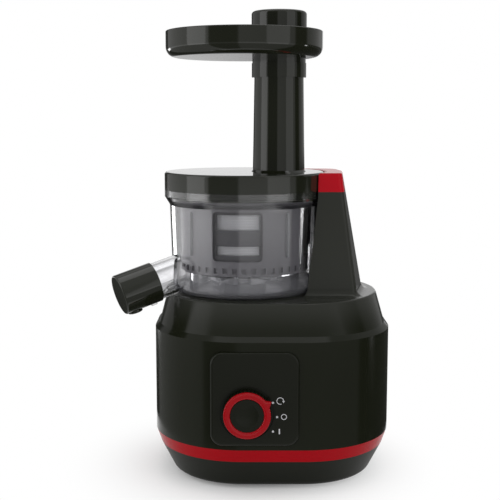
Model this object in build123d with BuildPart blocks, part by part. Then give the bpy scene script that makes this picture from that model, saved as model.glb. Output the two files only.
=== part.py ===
import os
from math import acos, cos, pi, radians, sin, tan

from build123d import *

os.makedirs("parts", exist_ok=True)

# Vertical screw juicer. Sizes are in millimetres, +Z is up and -Y is the front with the dial.
# The origin lies on the table, under the middle of the whole object.

# Fits
slip_gap = 0.3
running_gap = 0.05
seat_gap = 0.15

# Axes seen from above
drive_x = -5.5
drive_y = 0.0
base_x = 19.5
base_y = 6.5
feed_offset = 31.0

# Base shells
base_width = 211.0
base_depth = 195.0
base_corner = 79.0
shell_wall = 2.6
foot_height = 2.5
pan_top = 28.5
pan_taper = 27.0
pan_edge = 8.0
band_height = 11.5
band_taper = 19.0
band_thickness = 3.0
lip_root = 4.0
lip_wall = 2.2
lip_reach = 4.0
shoulder_height = 93.0
shoulder_rise = 4.0
collar_inset_side = 4.0
collar_inset_front = 4.5
base_collar_height = 25.5
deck_width = 191.0
deck_depth = 158.0
deck_corner = 78.0
deck_wall = 3.0
deck_edge = 2.5
collar_wall = 4.0
hub_radius = 20.0
hub_height = 7.5

# Posts, pan screws and feet, placed from the middle of the base
post_x = 63.0
post_y = 52.0
post_radius = 5.0
screw_radius = 1.5
screw_head_radius = 3.2
screw_head_height = 2.4
screw_bite = 12.0
pilot_depth = 14.4
pan_bore_depth = 9.0
foot_x = 68.0
foot_y = 30.0
foot_radius = 9.0
foot_seat = 1.2

# Air slots in the pan
vents_per_row = 4
vent_pitch = 8.0
vent_length = 46.0
vent_width = 3.2
vent_row = 42.0

# Control panel and dial
panel_x = 3.6
panel_lift = 44.7
panel_width = 75.0
panel_height = 80.6
panel_corner = 10.5
panel_rise = 2.5
panel_edge = 2.2
panel_depth = 15.0
peg_radius = 2.5
peg_x = 26.0
peg_z = 28.0
peg_reach = 5.0
dial_shift = 6.5
dial_drop = 11.4
dial_radius = 20.4
dial_height = 9.0
dial_rib_count = 40
dial_rib_radius = 0.75
dial_well_radius = 23.0
dial_well_depth = 1.2
dial_foot_gap = 0.5
ring_outer = 19.9
ring_inner = 14.1
ring_thickness = 2.4
ring_edge = 0.5
pointer_reach = 23.6
pointer_half_width = 3.6
pointer_angle = 29.5
dial_cap_drop = 0.6
dial_cap_thickness = 1.8
dial_cap_dish_radius = 60.0
dial_cap_dish_depth = 0.8
stem_radius = 3.0
stem_socket = 5.0
bushing_radius = 4.6
switch_size = 28.0
switch_corner = 3.0
switch_depth = 18.0
switch_gap = 1.0
stem_depth = 9.0

# Cord gland in the rear wall
gland_lift = 12.0
gland_radius = 6.0
gland_flange_radius = 9.0
gland_flange = 2.4
gland_bore = 3.6
gland_reach = 6.0

# Tower beside the bowl, placed from the drive axis
tower_cap_height = 16.5
tower_inner_x = 40.0
tower_front_foot = 37.0
tower_front_top = 33.0
tower_right_foot = 99.5
tower_right_top = 85.4
tower_side_foot = 109.5
tower_side_top = 89.4
tower_side_y = 10.0
tower_back_foot = 54.0
tower_back_top = 48.0
tower_front_corner = 5.0
tower_least_corner = 1.0
tower_side_corner = 40.0
tower_back_corner = 14.0
tower_wall = 3.0
tower_foot_radius = 66.4
tower_head_radius = 73.0
tower_root = 7.0
wire_hole_x = 88.0
wire_hole_y = -12.0
wire_hole_radius = 3.0
tower_cap_spigot_depth = 6.0
tower_cap_top_wall = 3.0
tower_cap_edge = 1.5
reed_width = 8.0
reed_depth = 16.0
reed_height = 14.0
reed_angle = 8.0

# Juice bowl
bowl_wall = 2.7
bowl_base_radius = 65.0
bowl_neck_radius = 67.5
bowl_corner = 8.0
bowl_height = 92.5
flare_height = 7.4
flange_radius = 72.0
flange_height = 6.0
spigot_radius = 69.0
spigot_wall = 2.4
spigot_height = 6.0
ledge_drop = 9.0
ledge_width = 1.7
gutter_wall = 3.0
plateau_radius = 50.0
plateau_height = 20.5
sleeve_inner = 9.5
sleeve_wall = 3.0
sleeve_height = 13.0
sleeve_seal_height = 3.0

# Juice spout and drip cap; reaches are measured along the spout from the bowl wall
spout_root = 62.0
spout_rise = 20.0
spout_azimuth = 24.0
spout_tilt = 16.5
spout_radius = 16.5
spout_bore = 13.4
spout_start = -4.0
drip_cap_start = 25.0
drip_cap_length = 34.4
drip_cap_radius = 17.8
drip_cap_wall = 1.9
drip_cap_end_wall = 3.0
drip_cap_edge = 1.2
nozzle_end_gap = 0.6
nozzle_end_wall = 2.2
lug_reach = 32.0
lug_size = 5.0
lug_rise = 1.4
lug_slot_gap = 0.8
lug_slot_height = 7.0
bore_start = -6.3
drip_cap_turn = 80.0
o_ring_reach = 40.0
o_ring_width = 2.0
o_ring_depth = 1.3
outlet_reach = 50.0
outlet_radius = 5.0
outlet_lip = 1.5
outlet_lip_rise = 1.2

# Pulp port and chute; reaches are measured from the drive axis
chute_angle = 115.0
chute_start = 24.0
chute_joint = 67.0
chute_end = 109.0
chute_width = 30.0
chute_clearance = 1.0
chute_wall = 2.4
chute_mouth_slant = 12.0
port_arc = 28.0
port_width = 12.0
port_wall = 1.8
plug_length = 22.0
plug_width = 14.0
plug_corner = 4.0
plug_height = 3.4

# Gear teeth
pressure_angle = 25.0
tip_share = 0.8
root_share = 1.05
tooth_slack = 0.15

# Gears under the strainer
bowl_module = 2.0
auger_teeth = 24
pinion_teeth = 10
pinion_angle = -40.0
gear_thickness = 7.0
pinion_pin_radius = 2.5
pinion_boss_radius = 5.2
pinion_boss_depth = 4.0

# Strainer
strainer_rise = 10.0
strainer_floor_wall = 2.5
strainer_inner = 50.6
strainer_outer = 54.0
strainer_ring = 5.5
strainer_top_ring = 10.0
strainer_flange_wall = 2.5
strainer_rib_count = 8
strainer_rib_turn = -73.5
strainer_band_rise = 13.5
strainer_band_height = 14.0
strainer_rib_width = 3.0
mesh_thickness = 0.6
mesh_gap = 0.1

# Wiper cage and blades
cage_radius = 58.0
cage_wall = 2.4
cage_top_gap = 2.0
cage_bay_count = 4
cage_bay_turn = -96.0
window_width = 43.0
window_corner = 4.0
window_sill = 5.7
window_head = 5.0
notch_count = 44
notch_width = 4.1
notch_depth = 1.6
notch_rise = 2.2
blade_thickness = 2.0
blade_sill = 8.7
blade_head = 7.0
blade_outer = 60.4

# Screw (auger)
auger_radius_foot = 46.5
auger_radius_shoulder = 44.0
auger_shoulder_drop = 14.0
flight_drop = 4.0
auger_flight_top_radius = 20.0
auger_floor_gap = 0.5
auger_disc = 2.4
core_foot_radius = 29.0
sleeve_room = 0.7
core_top_radius = 12.0
core_gap = 3.5
flight_count = 3
flight_width = 5.0
flight_corner = 2.0
flight_pitch = 75.0
pivot_radius = 5.0
pivot_end_gap = 0.5
socket_gap = 0.15
socket_spare = 2.0

# Lid, feed tube and tray
lid_height = 16.0
lid_plate = 3.0
lid_edge = 2.0
lid_ring_inner = 63.0
lid_ring_gap = 0.4
gasket_height = 2.2
pivot_boss_radius = 8.8
pivot_boss_depth = 18.5
bush_wall = 1.4
bush_height = 12.5
magnet_radius = 4.0
magnet_height = 4.0
magnet_drop = 10.0
magnet_wall = 1.5
magnet_reach = 56.0
magnet_angle = 35.0
feed_bore = 19.6
tube_foot_radius = 23.4
tube_head_radius = 22.1
tube_flare = 1.4
tube_length = 83.5
tube_spigot_radius = 21.5
tube_spigot_height = 16.5
tray_radius = 70.0
tray_gap = 1.0
tray_height = 23.0
tray_wall = 2.6
tray_corner = 9.0
tray_rim_edge = 1.1
collar_radius = 24.4
tray_collar_height = 12.5
collar_neck_radius = 23.9
pusher_stem_radius = 19.1
pusher_length = 74.6
pusher_wall = 2.2
pusher_flange_radius = 24.6
pusher_flange = 4.0
pusher_rise = 17.4
pusher_edge = 3.0
pusher_plug_depth = 12.0

# Gearbox, hung under the deck
reduction_one_module = 1.5
motor_pinion_teeth = 12
idler_gear_teeth = 48
reduction_two_module = 2.0
idler_pinion_teeth = 11
output_teeth = 44
idler_angle = 25.0
motor_angle = 245.0
case_height = 37.0
case_floor = 4.0
case_drop = 26.5
case_wall = 3.0
case_room = 4.0
cover_thickness = 4.0
ear_radius = 5.5
ear_overlap = 2.5
case_screw_bite = 3.0
stage_one_rise = 5.0
stage_one_width = 8.0
stage_gap = 4.0
stage_two_width = 10.0
idler_hub_radius = 7.5
idler_pin_radius = 4.0
output_hub_radius = 14.0
output_hub_rise = 3.0
axial_gap = 0.4
shaft_radius = 6.0
shaft_hex = 10.0
hex_sides = 6
shaft_edge = 0.5
shaft_bush_wall = 3.0
shaft_bush_flange = 2.0
shaft_bush_flange_wall = 3.0
bearing_radius = 14.0
bearing_height = 8.0
bearing_rise = 6.0
neck_wall = 3.5
neck_gap = 2.5
seal_radius = 11.0
seal_height = 6.5
deck_boss_radius = 5.0
deck_boss_reach = 40.0
output_boss_angles = (100, 190, 280)
idler_boss_reach = 25.0
idler_boss_angle = 0
output_ear_angles = (120, 180, 250)
idler_ear_angles = (320, 60)
hex_reach = 23.0

# Motor under the gearbox
stator_size = 76.0
stator_corner = 8.0
motor_drop = 13.0
stator_height = 34.0
stator_bore = 21.0
air_gap = 0.6
coil_inner = 23.0
coil_outer = 35.0
coil_height = 9.0
coil_edge = 3.0
motor_bolt_spread = 43.8
motor_bolt_angles = (45, 135, 225, 315)
motor_bar_angles = (45, 135)
motor_bolt_radius = 2.0
motor_bolt_head_radius = 3.8
motor_bolt_head_height = 3.0
motor_flange = 84.0
motor_leg_radius = 5.0
coil_clearance = 2.0
fan_gap = 2.0
bracket_hub_radius = 14.0
pinion_foot_gap = 2.5
bracket_thickness = 3.0
bracket_bar_width = 16.0
motor_shaft_radius = 4.0
motor_bush_wall = 3.0
motor_bush_height = 6.0
fan_radius = 28.0
fan_hub_radius = 9.0
fan_height = 8.0
fan_blade_count = 9
fan_blade_width = 1.6
fan_disc = 1.6

# Heights and places worked out from the sizes above
band_top = pan_top + band_height
shoulder_top = band_top + shoulder_height
collar_foot = shoulder_top + shoulder_rise
deck_top = collar_foot + base_collar_height
plateau_top = deck_top + plateau_height
spout_height = deck_top + spout_rise
rim_top = deck_top + bowl_height
flare_top = rim_top - flange_height
flare_foot = flare_top - flare_height
ledge_height = rim_top - ledge_drop
lid_top = rim_top + lid_height
tower_top = lid_top
tower_head_height = flare_top
panel_z = band_top + panel_lift
dial_x = panel_x - dial_shift
dial_z = panel_z - dial_drop
gland_z = band_top + gland_lift
tube_step = lid_top + tube_length
tube_top = tube_step + tube_spigot_height
collar_top = tube_step + tray_collar_height
tray_foot = tube_top + tray_gap
tray_rim = tray_foot + tray_height
pusher_top = tray_rim + pusher_rise
base_front = base_y - base_depth / 2
base_back = base_y + base_depth / 2
panel_face = base_front - panel_rise
deck_under = deck_top - deck_wall
band_inset = band_height * tan(radians(band_taper))
lip_inset = band_thickness + band_inset + seat_gap
pan_floor_top = foot_height + shell_wall
sleeve_outer = sleeve_inner + sleeve_wall
sleeve_top = plateau_top + sleeve_height
sleeve_seal_top = sleeve_top + sleeve_seal_height
plateau_under = plateau_top - bowl_wall
gutter_floor = deck_top + gutter_wall
bowl_inner_top = spigot_radius - spigot_wall - ledge_width
bowl_inner_foot = bowl_base_radius - bowl_wall
spigot_top = rim_top + spigot_height
spigot_inner = spigot_radius - spigot_wall
gear_foot = plateau_top + slip_gap
gear_top = gear_foot + gear_thickness
notch_foot = gear_foot + notch_rise
window_foot = gear_top + window_sill
blade_foot = gear_top + blade_sill
ring_teeth = auger_teeth + 2 * pinion_teeth
pinion_reach = bowl_module * (auger_teeth + pinion_teeth) / 2
pinion_x = drive_x + pinion_reach * cos(radians(pinion_angle))
pinion_y = drive_y + pinion_reach * sin(radians(pinion_angle))
auger_tip_radius = bowl_module * (auger_teeth / 2 + tip_share)
strainer_floor = plateau_top + strainer_rise
strainer_floor_top = strainer_floor + strainer_floor_wall
strainer_band_foot = strainer_floor_top + strainer_band_rise
strainer_hole = auger_tip_radius + 2 * slip_gap
flange_top = ledge_height + strainer_flange_wall
cage_top = ledge_height - cage_top_gap
window_top = cage_top - window_head
blade_top = cage_top - blade_head
auger_disc_foot = strainer_floor_top + auger_floor_gap
auger_disc_top = auger_disc_foot + auger_disc
hex_foot = deck_top + hub_height
feed_x = drive_x + feed_offset
gasket_foot = spigot_top + slip_gap
lid_ring_outer = spigot_inner - lid_ring_gap
lid_under = lid_top - lid_plate
pivot_boss_foot = lid_under - pivot_boss_depth
bush_top = pivot_boss_foot + bush_height
pivot_top = bush_top - pivot_end_gap
magnet_foot = lid_under - magnet_drop
core_top = pivot_boss_foot - core_gap
auger_flight_top = core_top - flight_drop
auger_shoulder = auger_flight_top - auger_shoulder_drop
tray_floor_top = tray_foot + tray_wall
pusher_foot = tray_floor_top - pusher_length
flange_seat = tray_floor_top + pusher_flange
case_top = deck_top - case_drop
case_foot = case_top - case_height
cover_top = case_top + cover_thickness
bearing_foot = cover_top + bearing_rise
neck_top = deck_under - neck_gap
idler_reach = reduction_two_module * (idler_pinion_teeth + output_teeth) / 2
motor_reach = reduction_one_module * (motor_pinion_teeth + idler_gear_teeth) / 2
idler_x = drive_x + idler_reach * cos(radians(idler_angle))
idler_y = drive_y + idler_reach * sin(radians(idler_angle))
motor_x = idler_x + motor_reach * cos(radians(motor_angle))
motor_y = idler_y + motor_reach * sin(radians(motor_angle))
output_room = reduction_two_module * (output_teeth / 2 + tip_share) + case_room
idler_room = reduction_one_module * (idler_gear_teeth / 2 + tip_share) + case_room
stator_top = case_foot - motor_drop
stator_foot = stator_top - stator_height
tower_cap_foot = tower_top - tower_cap_height
case_floor_top = case_foot + case_floor
stage_one_foot = case_floor_top + stage_one_rise
stage_one_top = stage_one_foot + stage_one_width
stage_two_foot = stage_one_top + stage_gap
stage_two_top = stage_two_foot + stage_two_width
bracket_top = stator_foot - coil_height - coil_clearance
bracket_foot = bracket_top - bracket_thickness
fan_top = bracket_foot - motor_bolt_head_height - fan_gap
fan_foot = fan_top - fan_height
hex_top = sleeve_seal_top + hex_reach
nozzle_radius = drip_cap_radius - drip_cap_wall - slip_gap
drip_cap_end = drip_cap_start + drip_cap_length
nozzle_end = drip_cap_end - drip_cap_end_wall - nozzle_end_gap
chute_foot = deck_top + chute_clearance
chute_top = plateau_top - seat_gap


def around(x, y, reach, angles):
    return [(x + reach * cos(radians(angle)), y + reach * sin(radians(angle))) for angle in angles]


deck_bosses = around(drive_x, drive_y, deck_boss_reach, output_boss_angles)
deck_bosses += around(idler_x, idler_y, idler_boss_reach, [idler_boss_angle])
case_ears = around(drive_x, drive_y, output_room + case_wall + ear_radius - ear_overlap, output_ear_angles)
case_ears += around(idler_x, idler_y, idler_room + case_wall + ear_radius - ear_overlap, idler_ear_angles)
motor_bolt_places = around(motor_x, motor_y, motor_bolt_spread, motor_bolt_angles)

drive_axis = Axis((drive_x, drive_y, 0), (0, 0, 1))
feed_axis = Axis((feed_x, drive_y, 0), (0, 0, 1))
drive_section = Plane((drive_x, drive_y, 0), x_dir=(1, 0, 0), z_dir=(0, -1, 0))
feed_section = Plane((feed_x, drive_y, 0), x_dir=(1, 0, 0), z_dir=(0, -1, 0))


def base_level(height):
    return Plane((base_x, base_y, height))


def drive_level(height):
    return Plane((drive_x, drive_y, height))


def feed_level(height):
    return Plane((feed_x, drive_y, height))


def front_plane(x, z, rise):
    return Plane((x, panel_face - rise, z), x_dir=(1, 0, 0), z_dir=(0, -1, 0))


def turned_level(angle, height):
    along = (cos(radians(angle)), sin(radians(angle)), 0)
    return Plane((drive_x, drive_y, height), x_dir=along, z_dir=(0, 0, 1))


def radial_plane(angle, reach, height):
    out = (cos(radians(angle)), sin(radians(angle)), 0)
    across = (-out[1], out[0], 0)
    middle = (drive_x + reach * out[0], drive_y + reach * out[1], height)
    return Plane(middle, x_dir=across, z_dir=out)


def spout_plane(reach):
    turn = radians(spout_azimuth)
    tilt = radians(spout_tilt)
    along = (-cos(turn) * cos(tilt), -sin(turn) * cos(tilt), -sin(tilt))
    root = (drive_x - spout_root * cos(turn), drive_y - spout_root * sin(turn), spout_height)
    middle = tuple(start + reach * step for start, step in zip(root, along))
    return Plane(middle, x_dir=(sin(turn), -cos(turn), 0), z_dir=along)


def spout_down(reach):
    plane = spout_plane(reach)
    return Plane(plane.origin, x_dir=plane.x_dir, z_dir=-plane.y_dir)


def ring(plane, outer, inner):
    with BuildSketch(plane) as sketch:
        Circle(outer)
        Circle(inner, mode=Mode.SUBTRACT)
    return sketch.sketch


def disc(plane, radius):
    with BuildSketch(plane) as sketch:
        Circle(radius)
    return sketch.sketch


def discs(height, places, radius):
    with BuildSketch(Plane.XY.offset(height)) as sketch:
        with Locations(places):
            Circle(radius)
    return sketch.sketch


def base_outline(height, inset):
    with BuildSketch(base_level(height)) as sketch:
        RectangleRounded(base_width - 2 * inset, base_depth - 2 * inset, base_corner - inset)
    return sketch.sketch


def base_frame(height, outer_inset, inner_inset):
    with BuildSketch(base_level(height)) as sketch:
        RectangleRounded(
            base_width - 2 * outer_inset,
            base_depth - 2 * outer_inset,
            base_corner - outer_inset,
        )
        RectangleRounded(
            base_width - 2 * inner_inset,
            base_depth - 2 * inner_inset,
            base_corner - inner_inset,
            mode=Mode.SUBTRACT,
        )
    return sketch.sketch


def collar_outline(height, inset):
    with BuildSketch(base_level(height)) as sketch:
        RectangleRounded(
            base_width - 2 * (collar_inset_side + inset),
            base_depth - 2 * (collar_inset_front + inset),
            base_corner - collar_inset_side - inset,
        )
    return sketch.sketch


def deck_outline(height, inset):
    with BuildSketch(base_level(height)) as sketch:
        RectangleRounded(deck_width - 2 * inset, deck_depth - 2 * inset, deck_corner - inset)
    return sketch.sketch


def base_discs(height, x, y, radius):
    with BuildSketch(base_level(height)) as sketch:
        with GridLocations(2 * x, 2 * y, 2, 2):
            Circle(radius)
    return sketch.sketch


def profile(plane, points, radii):
    with BuildSketch(plane) as sketch:
        with BuildLine():
            FilletPolyline(points, radius=radii, close=True)
        make_face()
    return sketch.sketch


# Involute outline with straight-cut flanks below the base circle; a tooth points along phase.
def gear(plane, teeth, module, phase, slack, tip, root):
    pitch = module * teeth / 2
    base = pitch * cos(radians(pressure_angle))
    radii = [max(base, pitch - root), pitch, pitch + tip]

    def half_angle(radius):
        roll = acos(min(1, base / radius))
        start = tan(radians(pressure_angle)) - radians(pressure_angle)
        return pi / (2 * teeth) - slack / (2 * pitch) + start - (tan(roll) - roll)

    flank = [(radius, half_angle(radius)) for radius in radii]
    if pitch - root < base:
        flank.insert(0, (pitch - root, half_angle(base)))
    points = []
    for tooth in range(teeth):
        middle = radians(phase) + 2 * pi * tooth / teeth
        sides = [(radius, middle - half) for radius, half in flank]
        sides += [(radius, middle + half) for radius, half in reversed(flank)]
        points += [(radius * cos(angle), radius * sin(angle)) for radius, angle in sides]
    with BuildSketch(plane) as sketch:
        with BuildLine():
            Polyline(points, close=True)
        make_face()
    return sketch.sketch


def outer_gear(plane, teeth, module, phase):
    return gear(plane, teeth, module, phase, tooth_slack, tip_share * module, root_share * module)


# Cross-section of the tower at one height, drawn in by an inset
def tower_section(height, inset):
    share = (height - deck_top) / (tower_top - deck_top)

    def at(foot, top):
        return foot + share * (top - foot)

    front = -at(tower_front_foot, tower_front_top) + inset
    back = at(tower_back_foot, tower_back_top) - inset
    right = at(tower_right_foot, tower_right_top) - inset
    side = at(tower_side_foot, tower_side_top) - inset
    points = [
        (tower_inner_x, front),
        (right, front),
        (side, tower_side_y),
        (right, back),
        (tower_inner_x, back),
    ]
    corner = max(tower_front_corner - inset, tower_least_corner)
    radii = [0, corner, tower_side_corner, tower_back_corner, 0]
    return profile(drive_level(height), points, radii)


# Room that the tower leaves for the bowl and lid
def bowl_room(margin):
    points = [
        (0, pan_top),
        (tower_foot_radius + margin, pan_top),
        (tower_foot_radius + margin, deck_top),
        (tower_head_radius + margin, tower_head_height),
        (tower_head_radius + margin, tower_top + margin),
        (0, tower_top + margin),
    ]
    return profile(drive_section, points, 0)


# Bottom pan with feet seats, air slots and screw posts
with BuildPart() as bottom_pan:
    extrude(base_outline(pan_top, band_inset), amount=foot_height - pan_top, taper=pan_taper)
    fillet(bottom_pan.faces().sort_by(Axis.Z)[0].edges(), pan_edge)
    extrude(
        base_outline(pan_top, band_inset + shell_wall),
        amount=pan_floor_top - pan_top,
        taper=pan_taper,
        mode=Mode.SUBTRACT,
    )
    extrude(
        base_frame(pan_top - lip_root, lip_inset, lip_inset + lip_wall),
        amount=lip_root + band_height + lip_reach,
    )
    extrude(base_discs(foot_height, post_x, post_y, post_radius), amount=pan_top - foot_height)
    extrude(
        base_discs(foot_height, post_x, post_y, screw_head_radius + slip_gap),
        amount=pan_bore_depth,
        mode=Mode.SUBTRACT,
    )
    extrude(
        base_discs(foot_height, post_x, post_y, screw_radius + slip_gap),
        amount=pan_top,
        mode=Mode.SUBTRACT,
    )
    extrude(
        base_discs(foot_height, foot_x, foot_y, foot_radius + seat_gap),
        amount=foot_seat,
        mode=Mode.SUBTRACT,
    )
    with BuildSketch(base_level(foot_height)):
        with Locations((0, -vent_row), (0, vent_row)):
            with GridLocations(0, vent_pitch, 1, vents_per_row):
                SlotOverall(vent_length, vent_width)
    extrude(amount=shell_wall, mode=Mode.SUBTRACT)
bottom_pan.part.label = "bottom_pan"
export_step(bottom_pan.part, "parts/bottom_pan.step")

with BuildPart() as rubber_feet:
    extrude(base_discs(0, foot_x, foot_y, foot_radius), amount=foot_height + foot_seat)
rubber_feet.part.label = "rubber_feet"
export_step(rubber_feet.part, "parts/rubber_feet.step")

pan_screw_head = foot_height + pan_bore_depth - screw_head_height
with BuildPart() as pan_screws:
    extrude(base_discs(pan_screw_head, post_x, post_y, screw_head_radius), amount=screw_head_height)
    extrude(
        base_discs(pan_screw_head, post_x, post_y, screw_radius),
        amount=pan_top - pan_screw_head + screw_bite,
    )
pan_screws.part.label = "pan_screws"
export_step(pan_screws.part, "parts/pan_screws.step")

with BuildPart() as trim_band:
    extrude(base_outline(band_top, 0), amount=-band_height, taper=band_taper)
    extrude(
        base_outline(band_top, band_thickness),
        amount=-band_height,
        taper=band_taper,
        mode=Mode.SUBTRACT,
    )
trim_band.part.label = "trim_band"
export_step(trim_band.part, "parts/trim_band.step")

# Tower as a solid and its hollow, both cut back to leave room for the bowl
with BuildPart() as tower_solid:
    loft([tower_section(deck_under, 0).face(), tower_section(tower_cap_foot, 0).face()])
    revolve(bowl_room(0), axis=drive_axis, mode=Mode.SUBTRACT)

with BuildPart() as tower_hollow:
    loft([tower_section(deck_top, tower_wall).face(), tower_section(tower_cap_foot, tower_wall).face()])
    revolve(bowl_room(tower_wall), axis=drive_axis, mode=Mode.SUBTRACT)

# Spigot and hollow of the red tower cap
with BuildPart() as tower_cap_spigot:
    spigot_inset = tower_wall + seat_gap
    loft([
        tower_section(tower_cap_foot - tower_cap_spigot_depth, spigot_inset).face(),
        tower_section(tower_cap_foot, spigot_inset).face(),
    ])
    revolve(bowl_room(spigot_inset), axis=drive_axis, mode=Mode.SUBTRACT)

with BuildPart() as tower_cap_hollow:
    hollow_inset = 2 * tower_wall
    loft([
        tower_section(tower_cap_foot - tower_cap_spigot_depth, hollow_inset).face(),
        tower_section(tower_top - tower_cap_top_wall, hollow_inset).face(),
    ])
    revolve(bowl_room(hollow_inset), axis=drive_axis, mode=Mode.SUBTRACT)

# Body shell with shoulder, collar, deck, drive hub and tower in one moulding
with BuildPart() as body_shell:
    extrude(base_outline(band_top, 0), amount=shoulder_top - band_top)
    collar_ring = collar_outline(collar_foot, 0).face()
    loft([base_outline(shoulder_top, 0).face(), collar_ring], ruled=True)
    loft([collar_ring, deck_outline(deck_top, 0).face()], ruled=True)
    fillet(body_shell.faces().sort_by(Axis.Z)[-1].edges(), deck_edge)
    add(tower_solid.part)
    extrude(
        base_outline(band_top, shell_wall),
        amount=shoulder_top - band_top - shell_wall,
        mode=Mode.SUBTRACT,
    )
    shoulder_room = base_outline(shoulder_top - shell_wall, shell_wall).face()
    collar_room = collar_outline(collar_foot - shell_wall, collar_wall).face()
    loft([shoulder_room, collar_room], ruled=True, mode=Mode.SUBTRACT)
    loft([collar_room, deck_outline(deck_under, collar_wall).face()], ruled=True, mode=Mode.SUBTRACT)
    add(tower_hollow.part, mode=Mode.SUBTRACT)
    wire_hole = [(drive_x + wire_hole_x, drive_y + wire_hole_y)]
    extrude(discs(deck_under, wire_hole, wire_hole_radius), amount=deck_wall, mode=Mode.SUBTRACT)
    extrude(disc(drive_level(deck_under), hub_radius), amount=deck_wall + hub_height)
    extrude(
        disc(drive_level(deck_under), seal_radius + seat_gap),
        amount=seal_height + slip_gap,
        mode=Mode.SUBTRACT,
    )
    extrude(
        disc(drive_level(deck_under), shaft_radius + slip_gap),
        amount=deck_wall + hub_height,
        mode=Mode.SUBTRACT,
    )
    extrude(base_discs(pan_top, post_x, post_y, post_radius), amount=deck_under - pan_top)
    extrude(
        base_discs(pan_top, post_x, post_y, screw_radius + running_gap),
        amount=pilot_depth,
        mode=Mode.SUBTRACT,
    )
    extrude(discs(cover_top, deck_bosses, deck_boss_radius), amount=deck_under - cover_top)
    extrude(
        discs(cover_top, deck_bosses, screw_radius + running_gap),
        amount=screw_bite,
        mode=Mode.SUBTRACT,
    )
    extrude(
        disc(front_plane(dial_x, dial_z, 0), bushing_radius + slip_gap),
        amount=-panel_depth,
        mode=Mode.SUBTRACT,
    )
    with BuildSketch(front_plane(panel_x, panel_z, 0)):
        with GridLocations(2 * peg_x, 2 * peg_z, 2, 2):
            Circle(peg_radius + seat_gap)
    extrude(amount=-panel_depth, mode=Mode.SUBTRACT)
    with BuildSketch(Plane((base_x, base_back, gland_z), x_dir=(-1, 0, 0), z_dir=(0, 1, 0))):
        Circle(gland_radius + seat_gap)
    extrude(amount=-2 * shell_wall, mode=Mode.SUBTRACT)
    deck_edges = body_shell.edges().filter_by_position(Axis.Z, deck_top - slip_gap, deck_top + slip_gap)
    across = deck_edges.filter_by_position(Axis.Y, -tower_front_foot - slip_gap, tower_back_foot + slip_gap)
    root_left = drive_x + tower_inner_x + slip_gap
    root_edges = across.filter_by_position(Axis.X, root_left, drive_x + tower_side_foot)
    fillet(root_edges.filter_by(GeomType.BSPLINE), tower_root)
body_shell.part.label = "body_shell"
export_step(body_shell.part, "parts/body_shell.step")

with BuildPart() as tower_cap:
    loft([tower_section(tower_cap_foot, 0).face(), tower_section(tower_top, 0).face()])
    revolve(bowl_room(0), axis=drive_axis, mode=Mode.SUBTRACT)
    fillet(tower_cap.faces().sort_by(Axis.Z)[-1].edges(), tower_cap_edge)
    add(tower_cap_spigot.part)
    add(tower_cap_hollow.part, mode=Mode.SUBTRACT)
tower_cap.part.label = "tower_cap"
export_step(tower_cap.part, "parts/tower_cap.step")

# Reed switch of the lid interlock, on the inner wall of the tower
with BuildPart() as reed_switch:
    reed_top = tower_cap_foot - tower_cap_spigot_depth - slip_gap
    with BuildSketch(turned_level(reed_angle, reed_top - reed_height)):
        with Locations((tower_head_radius + tower_wall + slip_gap + reed_width / 2, 0)):
            Rectangle(reed_width, reed_depth)
    extrude(amount=reed_height)
reed_switch.part.label = "reed_switch"
export_step(reed_switch.part, "parts/reed_switch.step")

# Control panel: a flat pad whose back follows the body shell
with BuildPart() as control_panel:
    with BuildSketch(front_plane(panel_x, panel_z, 0)):
        RectangleRounded(panel_width, panel_height, panel_corner)
    extrude(amount=-panel_depth)
    fillet(control_panel.faces().sort_by(Axis.Y)[0].edges(), panel_edge)
    extrude(base_outline(pan_top, -running_gap), amount=shoulder_top - pan_top, mode=Mode.SUBTRACT)
    with BuildSketch(front_plane(panel_x, panel_z, -panel_rise / 2)):
        with GridLocations(2 * peg_x, 2 * peg_z, 2, 2):
            Circle(peg_radius)
    extrude(amount=-panel_rise / 2 - shell_wall - peg_reach)
    extrude(
        disc(front_plane(dial_x, dial_z, 0), dial_well_radius),
        amount=-dial_well_depth,
        mode=Mode.SUBTRACT,
    )
    extrude(
        disc(front_plane(dial_x, dial_z, 0), bushing_radius + slip_gap),
        amount=-panel_depth,
        mode=Mode.SUBTRACT,
    )
control_panel.part.label = "control_panel"
export_step(control_panel.part, "parts/control_panel.step")

dial_foot = dial_foot_gap - dial_well_depth
dial_seat = dial_height - ring_thickness
with BuildPart() as dial_body:
    with BuildSketch(front_plane(dial_x, dial_z, dial_foot)):
        Circle(dial_radius)
        with PolarLocations(dial_radius, dial_rib_count):
            Circle(dial_rib_radius, mode=Mode.SUBTRACT)
    extrude(amount=dial_seat - dial_foot)
    extrude(
        disc(front_plane(dial_x, dial_z, dial_foot), stem_radius + running_gap),
        amount=stem_socket,
        mode=Mode.SUBTRACT,
    )
dial_body.part.label = "dial_body"
export_step(dial_body.part, "parts/dial_body.step")

with BuildPart() as dial_ring:
    with BuildSketch(front_plane(dial_x, dial_z, dial_seat)):
        Circle(ring_outer)
        with Locations(Rotation(0, 0, pointer_angle)):
            Polygon(
                (ring_inner, -pointer_half_width - (pointer_reach - ring_inner) / 2),
                (pointer_reach, 0),
                (ring_inner, pointer_half_width + (pointer_reach - ring_inner) / 2),
                align=None,
            )
        Circle(ring_inner, mode=Mode.SUBTRACT)
    extrude(amount=ring_thickness)
    chamfer(dial_ring.faces().sort_by(Axis.Y)[0].edges(), ring_edge)
dial_ring.part.label = "dial_ring"
export_step(dial_ring.part, "parts/dial_ring.step")

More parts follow.
